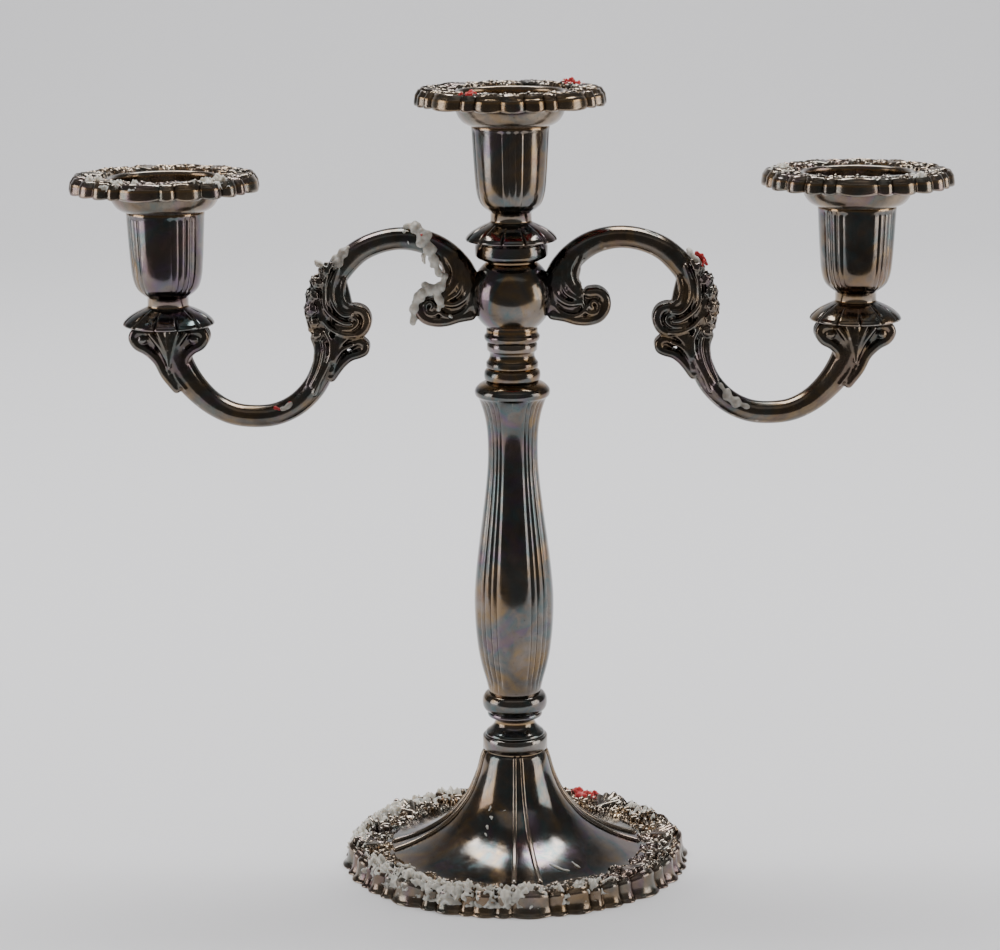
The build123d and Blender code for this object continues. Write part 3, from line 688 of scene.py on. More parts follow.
def make_turned_pieces(silver):
    collar = outline(
        ((10.9, 0.0), (11.5, 0.2)), ((11.5, 0.2), (11.8, 0.5)), ((11.8, 0.5), (11.8, 4.9)),
        ((11.8, 4.9), (11.5, 5.3)), ((11.5, 5.3), (10.9, 5.4)), step=0.3,
    )
    turned_piece("foot_collar", collar, "stand", silver)
    knop = outline(
        (
            (10.6, 0.0), (10.8, 0.5), (10.4, 1.3), (9.3, 2.2), (8.1, 3.4), (7.4, 4.6), (7.3, 5.7),
            (7.7, 6.4), (8.7, 6.9),
        ),
        ((8.7, 6.9), (9.7, 7.2), (10.0, 7.9), (9.8, 8.7), (9.5, 8.9)),
        ((9.5, 8.9), (10.6, 9.4), (11.5, 10.7), (11.8, 12.6), (11.5, 14.4), (10.6, 15.7), (9.3, 16.2)),
        step=0.35,
    )
    turned_piece("knop", knop, "stand", silver, bands=((5.2, 1.4),))
    ring = outline(
        ((8.7, 0.0), (9.4, 0.5), (9.9, 1.4), (9.9, 2.4), (9.3, 3.2)),
        ((9.3, 3.2), (9.2, 3.9), (9.2, 4.7), (9.0, 5.4)), step=0.25,
    )
    turned_piece("hub_ring", ring, "branch", silver, bands=((4.2, 0.8),))
    hub_collar = outline(
        ((9.0, 0.0), (9.1, 0.5)), ((9.1, 0.5), (10.9, 0.9), (12.2, 1.6), (12.8, 2.4), (12.9, 3.4)),
        ((12.9, 3.4), (12.9, 5.8)), ((12.9, 5.8), (12.5, 6.5)), ((12.5, 6.5), (12.4, 7.4)), step=0.3,
    )
    turned_piece("hub_collar", hub_collar, "branch", silver, bands=((0.2, 0.7),))
    radius, reach = 14.7, 11.62
    leans = np.linspace(-0.9, 0.9, 61)
    ball = [(radius * cos(lean), reach + radius * sin(lean)) for lean in leans]
    turned_piece(
        "hub_ball", [(9.0, 0.0), *ball, (9.0, 2 * reach)], "branch", silver, 256,
        bands=((0.0, 0.6), (23.2, 1.6)),
    )


# Angles between the grooves of one quarter turn, from the middle of a wide panel.
COLUMN_GROOVES = (28.0, 38.5, 51.5, 62.0)
NOZZLE_GROOVES = (28.0, 39.0, 51.0, 62.0)


def reeding(angle, grooves, depth):
    """Depth of the reeding at each angle: a wide, nearly flat panel and some reeds in each quarter."""
    place = (angle + 45) % 90 - 45
    edges = np.array(grooves + (grooves[0] + 90,))
    result = np.zeros_like(place)
    wrapped = np.where(place < grooves[0] - 1e-9, place + 90, place)
    for start, end in zip(edges, edges[1:]):
        inside = (wrapped >= start) & (wrapped < end)
        share = (wrapped[inside] - start) / (end - start)
        if end - start > 30:
            result[inside] = -depth * np.abs(2 * share - 1) ** 5
        else:
            result[inside] = -depth * (0.35 + 0.65 * np.abs(2 * share - 1) ** 2.2)
    return result


def shape_column(points):
    angle, radius = angle_and_radius(points)
    fade = np.clip((points[:, 2] - 0.8) / 5, 0, 1) * np.clip((109.2 - points[:, 2]) / 1.5, 0, 1)
    outside = radius > 8.0
    distance = reeding(angle, COLUMN_GROOVES, 0.72) * fade * (radius / 14.2) * outside
    move_out(points, distance)
    return warm_reflection_bands(points, ((114.2, 1.2),))


def make_column(silver):
    body = (
        (9.35, 0.0), (10.4, 4.4), (11.9, 9.8), (13.1, 15.8), (14.0, 24.0), (14.35, 32.0), (14.2, 39.0),
        (13.4, 48.0), (12.3, 57.0), (11.1, 66.0), (10.0, 75.0), (9.25, 83.0), (9.0, 90.0), (9.25, 97.0),
        (10.1, 102.5), (11.4, 107.0), (12.3, 109.2),
    )
    shoulder = (
        (12.5, 109.4), (13.2, 110.0), (13.5, 111.2), (13.2, 112.5), (12.0, 113.8), (10.4, 114.7),
        (9.4, 115.0),
    )
    points = outline(body, step=1.2) + outline(shoulder, step=0.3)
    full = [(6.45, 0.0), *points, (6.45, 115.0)]
    make_piece(
        "column_skin", turned(full, 736), "stand", silver, ("column",), seat_of("column"), 0,
        shape_column,
    )


def make_neck(silver):
    """The visible beads and band above the column; its tail stays inside."""
    tail = 19.0
    low = seat_of("neck_socket")
    beads = outline(
        ((9.2, 0.0), (9.8, 0.7), (10.1, 2.2), (9.9, 3.7), (9.2, 4.6)), ((9.2, 4.6), (8.9, 4.8)),
        ((8.9, 4.8), (9.3, 5.4), (9.3, 6.8), (9.0, 7.3)),
        ((9.0, 7.3), (8.5, 8.0), (8.05, 9.2), (8.1, 10.4), (8.7, 11.2)),
        ((8.7, 11.2), (9.0, 11.5)), ((9.0, 11.5), (9.0, 13.7)), ((9.0, 13.7), (8.7, 14.1)), step=0.25,
    )
    full = [(4.95, -tail), (6.35, -tail), (6.35, 0.0), *beads, (7.35, 14.1), (7.35, 12.9), (4.95, 12.9)]
    at = (low[0], low[1], low[2] + tail * MM)
    make_piece(
        "neck_skin", turned(full, 192), "stand", silver, ("neck_socket",), at,
        shape=lambda points: warm_reflection_bands(points, ((4.8, 0.5), (8.4, 0.9))),
    )


# ---------------------------------------------------------------- skirts, nozzles and wax pans

NOZZLE_TURNS = {"left": -13.0, "centre": 48.0, "right": 0.0}
PAN_TURNS = {"left": -10.0, "centre": -46.0, "right": -7.0}
PAN_LOBES = (26.0, 10.0, 17.0, 15.0, 13.0, 9.0)
PAN_BAND_MIDDLE = 26.5
PAN_PERIOD = 2 * pi * PAN_BAND_MIDDLE / 6
PAN_FLANGE = ((31.6, 12.1), (26.0, 11.7), (21.0, 11.8), (19.4, 12.1))
PAN_SEEDS = {"left": 20, "centre": 21, "right": 22}  # of the small differences between the flowers
PAN_STEPS = 608


def shape_skirt(points):
    """Petals: creases that run out from the neck, and an edge that rises a little at each."""
    angle, radius = angle_and_radius(points)
    place = np.abs((angle % 30) - 15) / 15
    share = np.clip((radius - 7.6) / 8.0, 0, 1)
    crease = np.clip((place - 0.72) / 0.28, 0, 1) ** 2
    outside = points[:, 2] > 0.6
    points[outside, 2] -= (0.75 * crease * share * np.clip((16.4 - radius) * 2, 0.4, 1))[outside]
    move_out(points, -0.55 * crease * np.clip((radius - 13.0) / 3.0, 0, 1))
    return warm_reflection_bands(points, ((7.4, 0.7),))


def make_skirts(silver):
    top = outline(
        ((15.6, 0.2), (16.1, 0.45), (16.2, 0.95), (15.7, 1.9)),
        ((15.7, 1.9), (14.2, 3.3), (12.2, 4.6), (9.8, 5.8), (8.2, 6.5), (7.5, 6.9), (7.3, 7.4)), step=0.35,
    )
    for side in SIDES:
        hole = ROD_HOLE if side == "centre" else SCREW_HOLE
        node = f"skirt_{side}"
        full = [(hole, 0.0), (8.0, 0.0), (9.6, 1.3), (14.4, 1.3), *top, (hole, 7.4)]
        make_piece(
            f"{node}_skin", turned(full, 384), "branch", silver, (node,), seat_of(node),
            NOZZLE_TURNS[side], shape_skirt,
        )


def shape_nozzle(points):
    angle, radius = angle_and_radius(points)
    outside = radius > np.interp(points[:, 2], (0.0, 3.0, 5.2, 8.0, 34.0), (6.5, 7.0, 9.4, 11.4, 12.9))
    fade = np.clip((points[:, 2] - 3.2) / 3, 0, 1) * np.clip((32.9 - points[:, 2]) / 1.2, 0, 1)
    move_out(points, reeding(angle, NOZZLE_GROOVES, 0.45) * fade * outside)
    return warm_reflection_bands(points, ((1.4, 1.8), (33.2, 0.6)))


def make_nozzles(silver):
    cup = outline(
        ((7.3, 0.0), (7.3, 2.8)),
        (
            (7.3, 2.8), (8.0, 3.4), (9.5, 4.5), (10.9, 6.0), (11.8, 8.0), (12.45, 11.0), (12.85, 15.3),
            (13.15, 19.8), (13.5, 26.0), (13.8, 31.6),
        ),
        ((13.8, 31.6), (13.9, 32.8), (13.75, 33.45)), step=0.6,
    )
    for side in SIDES:
        hole, pocket = (ROD_HOLE, 5.9) if side == "centre" else (SCREW_HOLE, 4.35)
        node = f"nozzle_{side}"
        inside = [
            (12.45, 33.5), (12.45, 26.9), (11.1, 26.9), (11.1, 8.2), (pocket, 8.2), (pocket, 5.2),
            (hole, 5.2), (hole, 0.0),
        ]
        make_piece(
            f"{node}_skin", turned(cup + inside, 480), "branch", silver, (node,),
            seat_of(node), NOZZLE_TURNS[side], shape_nozzle,
        )


def pan_flowers():
    half = PAN_PERIOD / 2
    beads = daisy((0.0, 0.4), 3.8, 8, 1.5) + daisy((-8.2, -1.6), 2.7, 6, 1.3, 15)
    beads += daisy((8.6, 1.0), 2.9, 7, 1.3)
    beads += leaf((3.2, 2.2), (8.0, 4.6), -0.1, 1.7, 1.1) + leaf((-3.2, 2.4), (-8.8, 4.4), 0.1, 1.8, 1.1)
    beads += leaf((3.0, -2.6), (8.4, -4.8), 0.12, 1.7, 1.0)
    beads += leaf((-2.4, -3.0), (-6.2, -5.2), -0.12, 1.5, 1.0)
    beads += scroll((11.6, -2.4), 2.3, 180, 520, 1.2, 0.27) + scroll((-12.0, 1.8), 2.4, 0, -520, 1.2, 0.27)
    beads += shell((half, -4.0), 90, 7.2, 5, 60, 1.2)
    beads += berries((-4.9, -0.2), 1.1, 5, 1.2, 6) + berries((5.2, -0.8), 1.2, 6, 1.2, 7)
    beads += bead_line(
        ((-half, 5.6), (-half / 2, 5.9), (0, 5.6), (half / 2, 5.9), (half, 5.6)), 0.7, 0.8, ends=(1, 1),
    )
    return beads


def pan_relief(points, seed):
    """Height of the cast flowers over each point of the flange."""
    angle, radius = angle_and_radius(points)
    along = np.radians(angle) * PAN_BAND_MIDDLE
    height = 1.35 * raised(along, radius - PAN_BAND_MIDDLE, pan_flowers(), 6, PAN_PERIOD, seed)
    return height * np.clip((33.1 - radius) / 0.9, 0, 1) * np.clip((radius - 19.0) / 0.8, 0, 1)


def bend_pan_lip(points):
    """Lobes on the lip that hangs from the flange."""
    angle, radius = angle_and_radius(points)
    bulge = lobes(angle, PAN_LOBES)
    move_out(points, -1.9 * (1 - bulge) * np.clip((radius - 28.5) / 3.5, 0, 1))
    lip = radius > 31.0
    points[lip, 2] += ((1 - bulge) * (0.8 * np.clip((10.5 - points[:, 2]) / 3, 0, 1) - 0.3))[lip]


def raise_pan_flowers(points, side):
    """Raises the flange's flowers and bends its lip; gives which points are on the flange."""
    radius = np.hypot(points[:, 0], points[:, 1])
    top = (points[:, 2] > 11.2) & (radius > 18.9) & (radius < 33.2)
    points[top, 2] += pan_relief(points[top], PAN_SEEDS[side])
    bend_pan_lip(points)
    return top, radius


def pan_seat(side):
    """The middle of a nozzle's mouth, where its pan sits."""
    low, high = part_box(f"nozzle_{side}")
    return ((low[0] + high[0]) / 2, (low[1] + high[1]) / 2, high[2])


def shape_pan(points, side):
    raise_pan_flowers(points, side)
    return warm_reflection_bands(points, ((0.2, 0.6), (10.6, 0.5)))


def make_pans(relief_silver):
    collar_length = 6.0
    bowl = (
        (13.75, 0.0), (15.2, 0.3), (17.0, 1.4), (18.4, 3.2), (19.2, 5.2), (19.6, 7.4), (20.2, 9.6),
        (21.6, 10.8),
    )
    under = ((21.6, 10.8), (26.0, 10.9), (31.0, 10.6), (32.1, 9.8), (32.4, 8.4), (32.5, 7.3))
    lip = (
        (32.5, 7.3), (33.0, 7.0), (33.7, 7.2), (33.9, 8.2), (33.7, 9.8), (33.4, 11.2), (32.7, 11.9),
        (31.6, 12.1),
    )
    well = (
        (19.4, 12.1), (18.8, 11.9), (18.4, 11.0), (18.3, 8.4), (18.0, 5.8), (16.9, 3.6), (15.2, 2.2),
        (13.2, 1.4), (11.5, 1.2),
    )
    points = (
        outline(bowl, step=0.7) + outline(under, step=0.9)[1:] + outline(lip, step=0.4)[1:]
        + outline(PAN_FLANGE, step=0.38)[1:] + outline(well, step=0.7)[1:]
        + [(11.45, 0.9), (11.45, -collar_length), (12.3, -collar_length), (12.3, 0.0)]
    )
    for side in SIDES:
        node = f"wax_pan_{side}"
        make_piece(
            f"{node}_skin", turned(points, PAN_STEPS), f"pan_{side}", relief_silver, (node,),
            pan_seat(side), PAN_TURNS[side], lambda place, side=side: shape_pan(place, side),
        )


# ---------------------------------------------------------------- arms

# The right arm, as (x, z) from the hub's centre. Tubes: (x, z, radius) along the middle.
ARM_TUBES = (
    (
        (13.0, -3.0, 5.0), (15.4, 3.0, 5.0), (18.4, 9.4, 4.9), (23.5, 15.0, 4.6), (30.0, 18.7, 4.3),
        (38.0, 20.2, 4.1), (46.0, 19.2, 4.1), (53.5, 16.0, 4.2), (59.6, 10.6, 4.5), (63.8, 5.0, 4.8),
        (66.4, -1.0, 5.0), (67.6, -6.5, 4.9), (67.6, -11.5, 4.3), (66.7, -16.5, 3.9), (66.4, -21.4, 4.1),
        (67.8, -27.0, 4.3), (71.2, -33.4, 4.25), (77.2, -39.2, 4.15), (84.6, -42.6, 4.1), (92.5, -43.3, 4.1),
        (100.0, -42.2, 4.15), (107.0, -38.6, 4.35), (113.0, -33.0, 4.8), (117.6, -26.6, 5.4),
        (120.4, -20.6, 6.2), (121.8, -14.0, 7.2),
    ),
    ((17.6, 9.0, 4.5), (17.0, 3.0, 4.4), (18.2, -2.6, 4.2), (22.6, -5.2, 3.6)),
    ((20.6, 9.4, 4.2), (20.2, 5.4, 3.9), (21.8, 0.8, 3.6), (25.0, -2.6, 3.4)),
    (
        (62.4, 4.2, 4.3), (61.0, -2.6, 4.4), (60.4, -8.6, 4.3), (61.6, -14.4, 4.1), (63.4, -20.8, 4.1),
        (65.8, -27.0, 4.1),
    ),
)
# Filled discs: x, z, radius, half thickness in Y.
ARM_DISCS = (
    (27.8, -4.0, 5.6, 3.7), (55.8, -9.0, 4.6, 3.6), (54.6, -18.4, 2.8, 3.0), (112.6, -14.4, 4.0, 3.6),
    (131.0, -14.4, 4.0, 3.6), (121.8, -13.6, 11.0, 5.8),
)
# Rolled edges and ridges: points, radius at the start and the end, depths in Y.
ARM_STROKES = (
    # root scroll: its rolled rim, the leaves that run down into it, and the spiral
    (
        (
            (14.6, -7.0), (19.0, -7.8), (23.0, -9.0), (27.0, -9.2), (30.8, -8.0), (33.1, -4.9), (33.0, -1.3),
            (30.6, 0.9), (27.4, 0.8),
        ),
        2.0, 1.9, (-2.8, 0.0, 2.8),
    ),
    (
        (
            (24.9, 0.4), (25.0, -2.8), (27.0, -6.2), (30.0, -6.0), (30.7, -3.4), (29.0, -1.9), (27.8, -3.2),
            (28.4, -4.6),
        ),
        0.8, 0.8, (-4.0, 4.0),
    ),
    (((18.0, 8.6), (18.0, 4.0), (19.6, 0.8), (23.6, -1.4)), 0.8, 0.7, (-4.5, 4.5)),
    (((20.0, 11.4), (19.2, 6.4), (20.4, 3.0), (23.8, -0.2)), 0.7, 0.7, (-4.5, 4.5)),
    (((23.0, 14.4), (20.8, 9.8), (20.8, 6.4), (22.0, 3.4), (25.0, 0.6)), 0.7, 0.8, (-4.3, 4.3)),
    (((24.6, 13.2), (22.9, 9.0), (22.8, 5.8), (24.4, 3.0)), 0.8, 0.7, (-3.7, 3.7)),
    (((14.8, 2.6), (16.8, -0.8), (20.2, -2.8), (24.0, -2.6)), 1.1, 1.0, (-4.3, 4.3)),
    (((14.8, -3.0), (17.0, -5.6), (20.8, -7.2), (24.4, -6.6), (26.0, -4.2)), 0.9, 0.8, (-4.0, 4.0)),
    # big scroll of the middle, with the leaves that sweep round into it
    (
        ((62.0, -14.4), (57.6, -14.2), (53.4, -12.8), (51.5, -9.2), (52.6, -5.8), (55.6, -4.6), (58.4, -5.4)),
        1.9, 1.9, (-2.6, 0.0, 2.6),
    ),
    (((60.4, -11.4), (56.8, -11.2), (54.8, -9.2), (55.7, -7.3), (57.4, -7.9)), 0.9, 0.8, (-3.9, 3.9)),
    (
        ((61.4, 10.4), (63.2, 4.8), (63.6, 0.2), (62.4, -3.6), (59.6, -6.4), (57.0, -6.2)), 0.8, 0.8,
        (-4.5, 4.5),
    ),
    (
        ((63.6, 12.0), (65.8, 6.0), (66.5, 0.8), (65.9, -3.6), (63.6, -6.6), (60.0, -9.0), (57.2, -9.4)), 0.9,
        0.8, (-4.9, 4.9),
    ),
    (((67.2, -8.0), (63.9, -11.5), (59.8, -13.4), (56.0, -13.6)), 0.9, 0.9, (-4.2, 4.2)),
    (((59.2, 6.0), (60.0, 1.0), (58.8, -2.6), (56.6, -4.0)), 1.1, 1.0, (-3.6, 3.6)),
    # small scroll under it, and the fan between
    (
        (
            (64.4, -29.0), (60.9, -24.4), (57.6, -21.7), (54.4, -20.7), (52.4, -19.6), (52.3, -17.4),
            (54.6, -16.2), (57.4, -17.4),
        ),
        1.8, 1.6, (-2.4, 0.0, 2.4),
    ),
    (((56.8, -17.2), (60.3, -18.9), (62.7, -22.5), (64.2, -27.0)), 0.8, 0.6, (-4.0, 4.0)),
    (((58.6, -14.8), (61.2, -17.6), (63.3, -22.8)), 0.6, 0.6, (-4.3, 4.3)),
    (((60.6, -14.8), (62.2, -18.0), (63.5, -22.8)), 0.6, 0.6, (-4.4, 4.4)),
    (((62.6, -14.8), (63.2, -18.2), (63.9, -22.8)), 0.6, 0.6, (-4.4, 4.4)),
    # bud under the flowers, and its long leaves
    (((66.0, -12.2), (64.2, -16.6), (64.8, -22.0), (67.0, -27.2), (70.2, -33.0)), 0.9, 0.6, (-4.3, 4.3)),
    (((66.9, -15.7), (66.6, -19.5), (68.2, -25.6), (71.4, -32.0)), 0.9, 0.6, (-4.0, 4.0)),
    (((70.4, -14.6), (69.4, -18.8), (70.4, -25.0), (73.0, -31.4)), 1.3, 0.7, (-3.0, 3.0)),
    (((66.2, -24.0), (68.2, -29.2), (70.6, -34.4)), 0.5, 0.8, (-4.3, 4.3)),
    (((69.0, -13.4), (69.6, -13.6)), 1.6, 1.6, (-3.8, 3.8)),
    # capital under the skirt: two scrolls, their eyes and the fan between
    (
        (
            (112.8, -12.0), (110.4, -12.0), (109.2, -14.2), (110.6, -16.8), (113.8, -18.6), (116.6, -22.0),
            (117.2, -28.0),
        ),
        1.9, 1.9, (-3.2, 0.0, 3.2),
    ),
    (
        (
            (130.8, -12.0), (133.2, -12.0), (134.4, -14.2), (133.0, -16.8), (129.6, -18.8), (126.0, -22.4),
            (123.4, -27.6), (119.6, -32.6),
        ),
        1.9, 1.7, (-3.2, 0.0, 3.2),
    ),
    (((112.6, -14.6), (113.2, -14.6)), 1.5, 1.5, (-4.0, 4.0)),
    (((130.8, -14.6), (131.2, -14.6)), 1.5, 1.5, (-4.0, 4.0)),
    (((121.6, -24.0), (119.4, -18.0), (115.8, -12.4)), 0.6, 1.0, (-5.4, 5.4)),
    (((121.6, -24.0), (120.6, -17.4), (118.8, -11.8)), 0.6, 1.0, (-6.0, 6.0)),
    (((121.7, -24.4), (121.8, -17.0), (121.9, -11.6)), 0.6, 1.1, (-6.3, 6.3)),
    (((121.8, -24.0), (122.9, -17.4), (125.0, -11.8)), 0.6, 1.0, (-6.0, 6.0)),
    (((121.8, -24.0), (124.2, -18.0), (128.0, -12.4)), 0.6, 1.0, (-5.4, 5.4)),
    (((121.0, -22.6), (119.6, -27.6), (116.4, -32.8)), 0.8, 0.5, (-4.6, 4.6)),
    (((122.6, -22.6), (121.8, -27.0), (118.8, -31.4)), 0.8, 0.5, (-4.4, 4.4)),
)
ARM_VOXEL = 0.42
ARM_CAPITAL_START = 100.0  # beyond this X the arm ends flat under the skirt
SKIRT_SEAT = -10.22
# Daisies: x, z, size.
ARM_FLOWERS = ((67.2, 8.8, 2.1), (70.2, 4.6, 2.4), (71.8, 0.0, 2.5), (72.4, -4.8, 2.5), (71.6, -9.6, 2.2))


def arm_flowers():
    """Daisies over the outside of the bend, on the front, the edge and the back."""
    rng = np.random.default_rng(5)
    balls = []
    for x, z, size in ARM_FLOWERS:
        for depth, drop in ((-4.2, 0.8), (-2.4, -1.6), (0.0, 0.4), (2.4, -1.6), (4.2, 0.8)):
            inward = abs(depth) * 0.42
            centre = Vector((x - inward, depth * 1.12, z + drop))
            facing = Vector((1.0, depth * 0.45, 0.15)).normalized()
            side = facing.cross(Vector((0, 0, 1))).normalized()
            up = side.cross(facing)
            balls.append([(*(centre + facing * 0.9), 0.34 * size)])
            petals = 6
            start = rng.uniform(0, 2 * pi)
            for petal in range(petals):
                lean = start + 2 * pi * petal / petals
                place = centre + facing * 0.45 + (side * cos(lean) + up * sin(lean)) * 0.62 * size
                balls.append([(*place, 0.36 * size)])
    return balls


def arm_skin():
    """The right arm as one cast surface, drawn from the hub's centre."""
    bm = bmesh.new()
    strokes = arm_flowers()
    for tube in ARM_TUBES:
        strokes.append([(x, 0.0, z, radius) for x, z, radius in curve(tube, 0.8)])
    for points, start, end, depths in ARM_STROKES:
        line = curve(points, 0.5)
        for depth in depths:
            strokes.append([
                (x, depth, z, start + (end - start) * index / (len(line) - 1))
                for index, (x, z) in enumerate(line)
            ])
    add_tubes(bm, strokes)
    for x, z, radius, thickness in ARM_DISCS:
        add_ball(bm, (x, 0.0, z), 1.0, (radius, thickness, min(radius, 7.5)), 4)
    skin = fused(bm, ARM_VOXEL, 3)
    for vert in skin.verts:
        if vert.co.x > ARM_CAPITAL_START:
            vert.co.z = min(vert.co.z, SKIRT_SEAT)
    return skin


def hub_centre():
    low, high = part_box("hub_ball")
    return (0, 0, (low[2] + high[2]) / 2)


def make_arms(silver):
    right = arm_skin()
    left = right.copy()
    bmesh.ops.rotate(left, verts=left.verts, cent=(0, 0, 0), matrix=Matrix.Rotation(pi, 3, "Z"))
    for side, mesh in (("right", right), ("left", left)):
        make_piece(
            f"arm_{side}_skin", mesh, "branch", silver, (f"arm_{side}",), hub_centre(),
        )


# ---------------------------------------------------------------- wax


BURIED = -0.9  # thickness where there is no wax, which hides the crust under the metal
THICKEST = 1.5
WAX_VOXEL, FINE_WAX_VOXEL = 0.3, 0.25


def crusted(points, patches, seed):
    """Thickness of a crust of wax at each point. Patches: bearing, reach, radius, depth, amount."""
    angle, radius = angle_and_radius(points)
    cover = np.full(len(angle), -1.0)
    for bearing, reach, middle, depth, amount in patches:
        turn = (angle - bearing + 180) % 360 - 180
        cover = np.maximum(cover, amount * (1 - (turn / reach) ** 2 - ((radius - middle) / depth) ** 2))
    near = np.flatnonzero(cover > -0.7)
    thickness = np.full(len(angle), BURIED)
    for index in near:
        place = Vector(points[index]) + Vector((0, 0, seed))
        lumps = 1.1 * field.noise(place * 0.33) + 1.1 * field.noise(place * 0.8)
        thickness[index] = min(1.7 * min(cover[index], 0.7) - 0.6 + 1.5 * lumps, THICKEST)
    return np.maximum(thickness, BURIED)


def make_foot_crust(name, patches, material, seed):
    """Wax that lies on the flowers of the foot and just over its edge."""
    top = outline(FOOT_TOP[1:], step=0.38) + outline(FOOT_EDGE[:5], step=0.38)[1:]
    under = [(61.0, 3.6), (59.8, 6.4), (55.0, 4.6), (50.0, 4.4)]

    def shape(points):
        radius = np.hypot(points[:, 0], points[:, 1])
        upper = (points[:, 2] > 5.4) & (radius < 61.4)
        points[upper, 2] += foot_relief(points[upper])
        skin = (points[:, 2] > 5.3) & (radius < 61.2) | (radius >= 61.2)
        bend_foot_edge(points)
        thickness = crusted(points, patches, seed)
        side = np.clip((radius - 60.4) / 1.4, 0, 1)
        points[skin, 2] += (thickness * (1 - side))[skin]
        move_out(points, np.where(skin, thickness * side, 0.0))

    make_piece(name, turned(top + under, 704), "stand", material, turn=FOOT_TURN, shape=shape)


def make_pan_crust(name, side, patches, material, seed):
    """Wax that lies on the flowers of a pan's flange."""
    top = outline(((33.6, 10.4), (33.3, 11.3), (32.7, 11.9)), step=0.3) + outline(PAN_FLANGE, step=0.4)
    under = [(19.6, 10.9), (26.0, 10.5), (32.0, 10.6)]

    def shape(points):
        upper, radius = raise_pan_flowers(points, side)
        skin = upper | (radius > 33.0)
        points[skin, 2] += crusted(points, patches, seed)[skin]

    make_piece(
        name, turned(top + under, 416), f"pan_{side}", material, at=pan_seat(side), turn=PAN_TURNS[side],
        shape=shape,
    )


def make_drips(name, body, drips, material, at, seed, voxel=WAX_VOXEL):
    """Runs of wax along the given lines of (x, y, z, radius), swollen and knobbly."""
    rng = np.random.default_rng(seed)
    strokes = []
    for drip in drips:
        line = curve(drip, 0.6)
        strokes.append([
            (x, y, z, radius * (0.85 + 0.2 * sin(0.8 * index + seed)))
            for index, (x, y, z, radius) in enumerate(line)
        ])
        for x, y, z, radius in line[::3]:
            shift = rng.normal(0, 0.6, 3) * radius
            lump = (x + shift[0], y + shift[1] * 0.4, z + shift[2], radius * rng.uniform(0.45, 0.8))
            strokes.append([lump])
    bm = bmesh.new()
    add_tubes(bm, strokes, 3)
    make_piece(name, fused(bm, voxel, 6), body, material, at=at)


def make_wax_on_foot(white, red):
    make_foot_crust("wax_on_foot", (
        (-126, 36, 56.5, 5.5, 1.0), (-100, 20, 57.0, 5.0, 0.95), (-152, 14, 56.5, 4.5, 0.85),
        (-118, 12, 60.5, 3.5, 0.75), (168, 14, 58.0, 4.5, 0.8), (143, 14, 58.0, 4.0, 0.85),
        (118, 16, 58.0, 4.5, 0.9), (-74, 14, 57.0, 3.5, 0.5), (28, 8, 57.0, 4.0, 0.4),
    ), white, 3.1)
    make_foot_crust("red_wax_on_foot", ((58, 7, 57.5, 3.6, 0.8),), red, 8.7)


def make_wax_on_pans(white, red):
    left = ((-38, 13, 29.0, 5.0, 1.2), (-102, 16, 29.5, 3.5, 0.45), (-135, 10, 28.5, 3.5, 0.35))
    make_pan_crust("wax_on_left_pan", "left", left, white, 5.3)
    right = ((-45, 9, 29.0, 3.8, 0.8), (172, 12, 29.0, 4.0, 0.6))
    make_pan_crust("wax_on_right_pan", "right", right, white, 6.1)
    centre = ((84, 13, 29.0, 3.0, 0.8), (-72, 7, 28.0, 2.6, 0.45))
    make_pan_crust("red_wax_on_centre_pan", "centre", centre, red, 7.7)


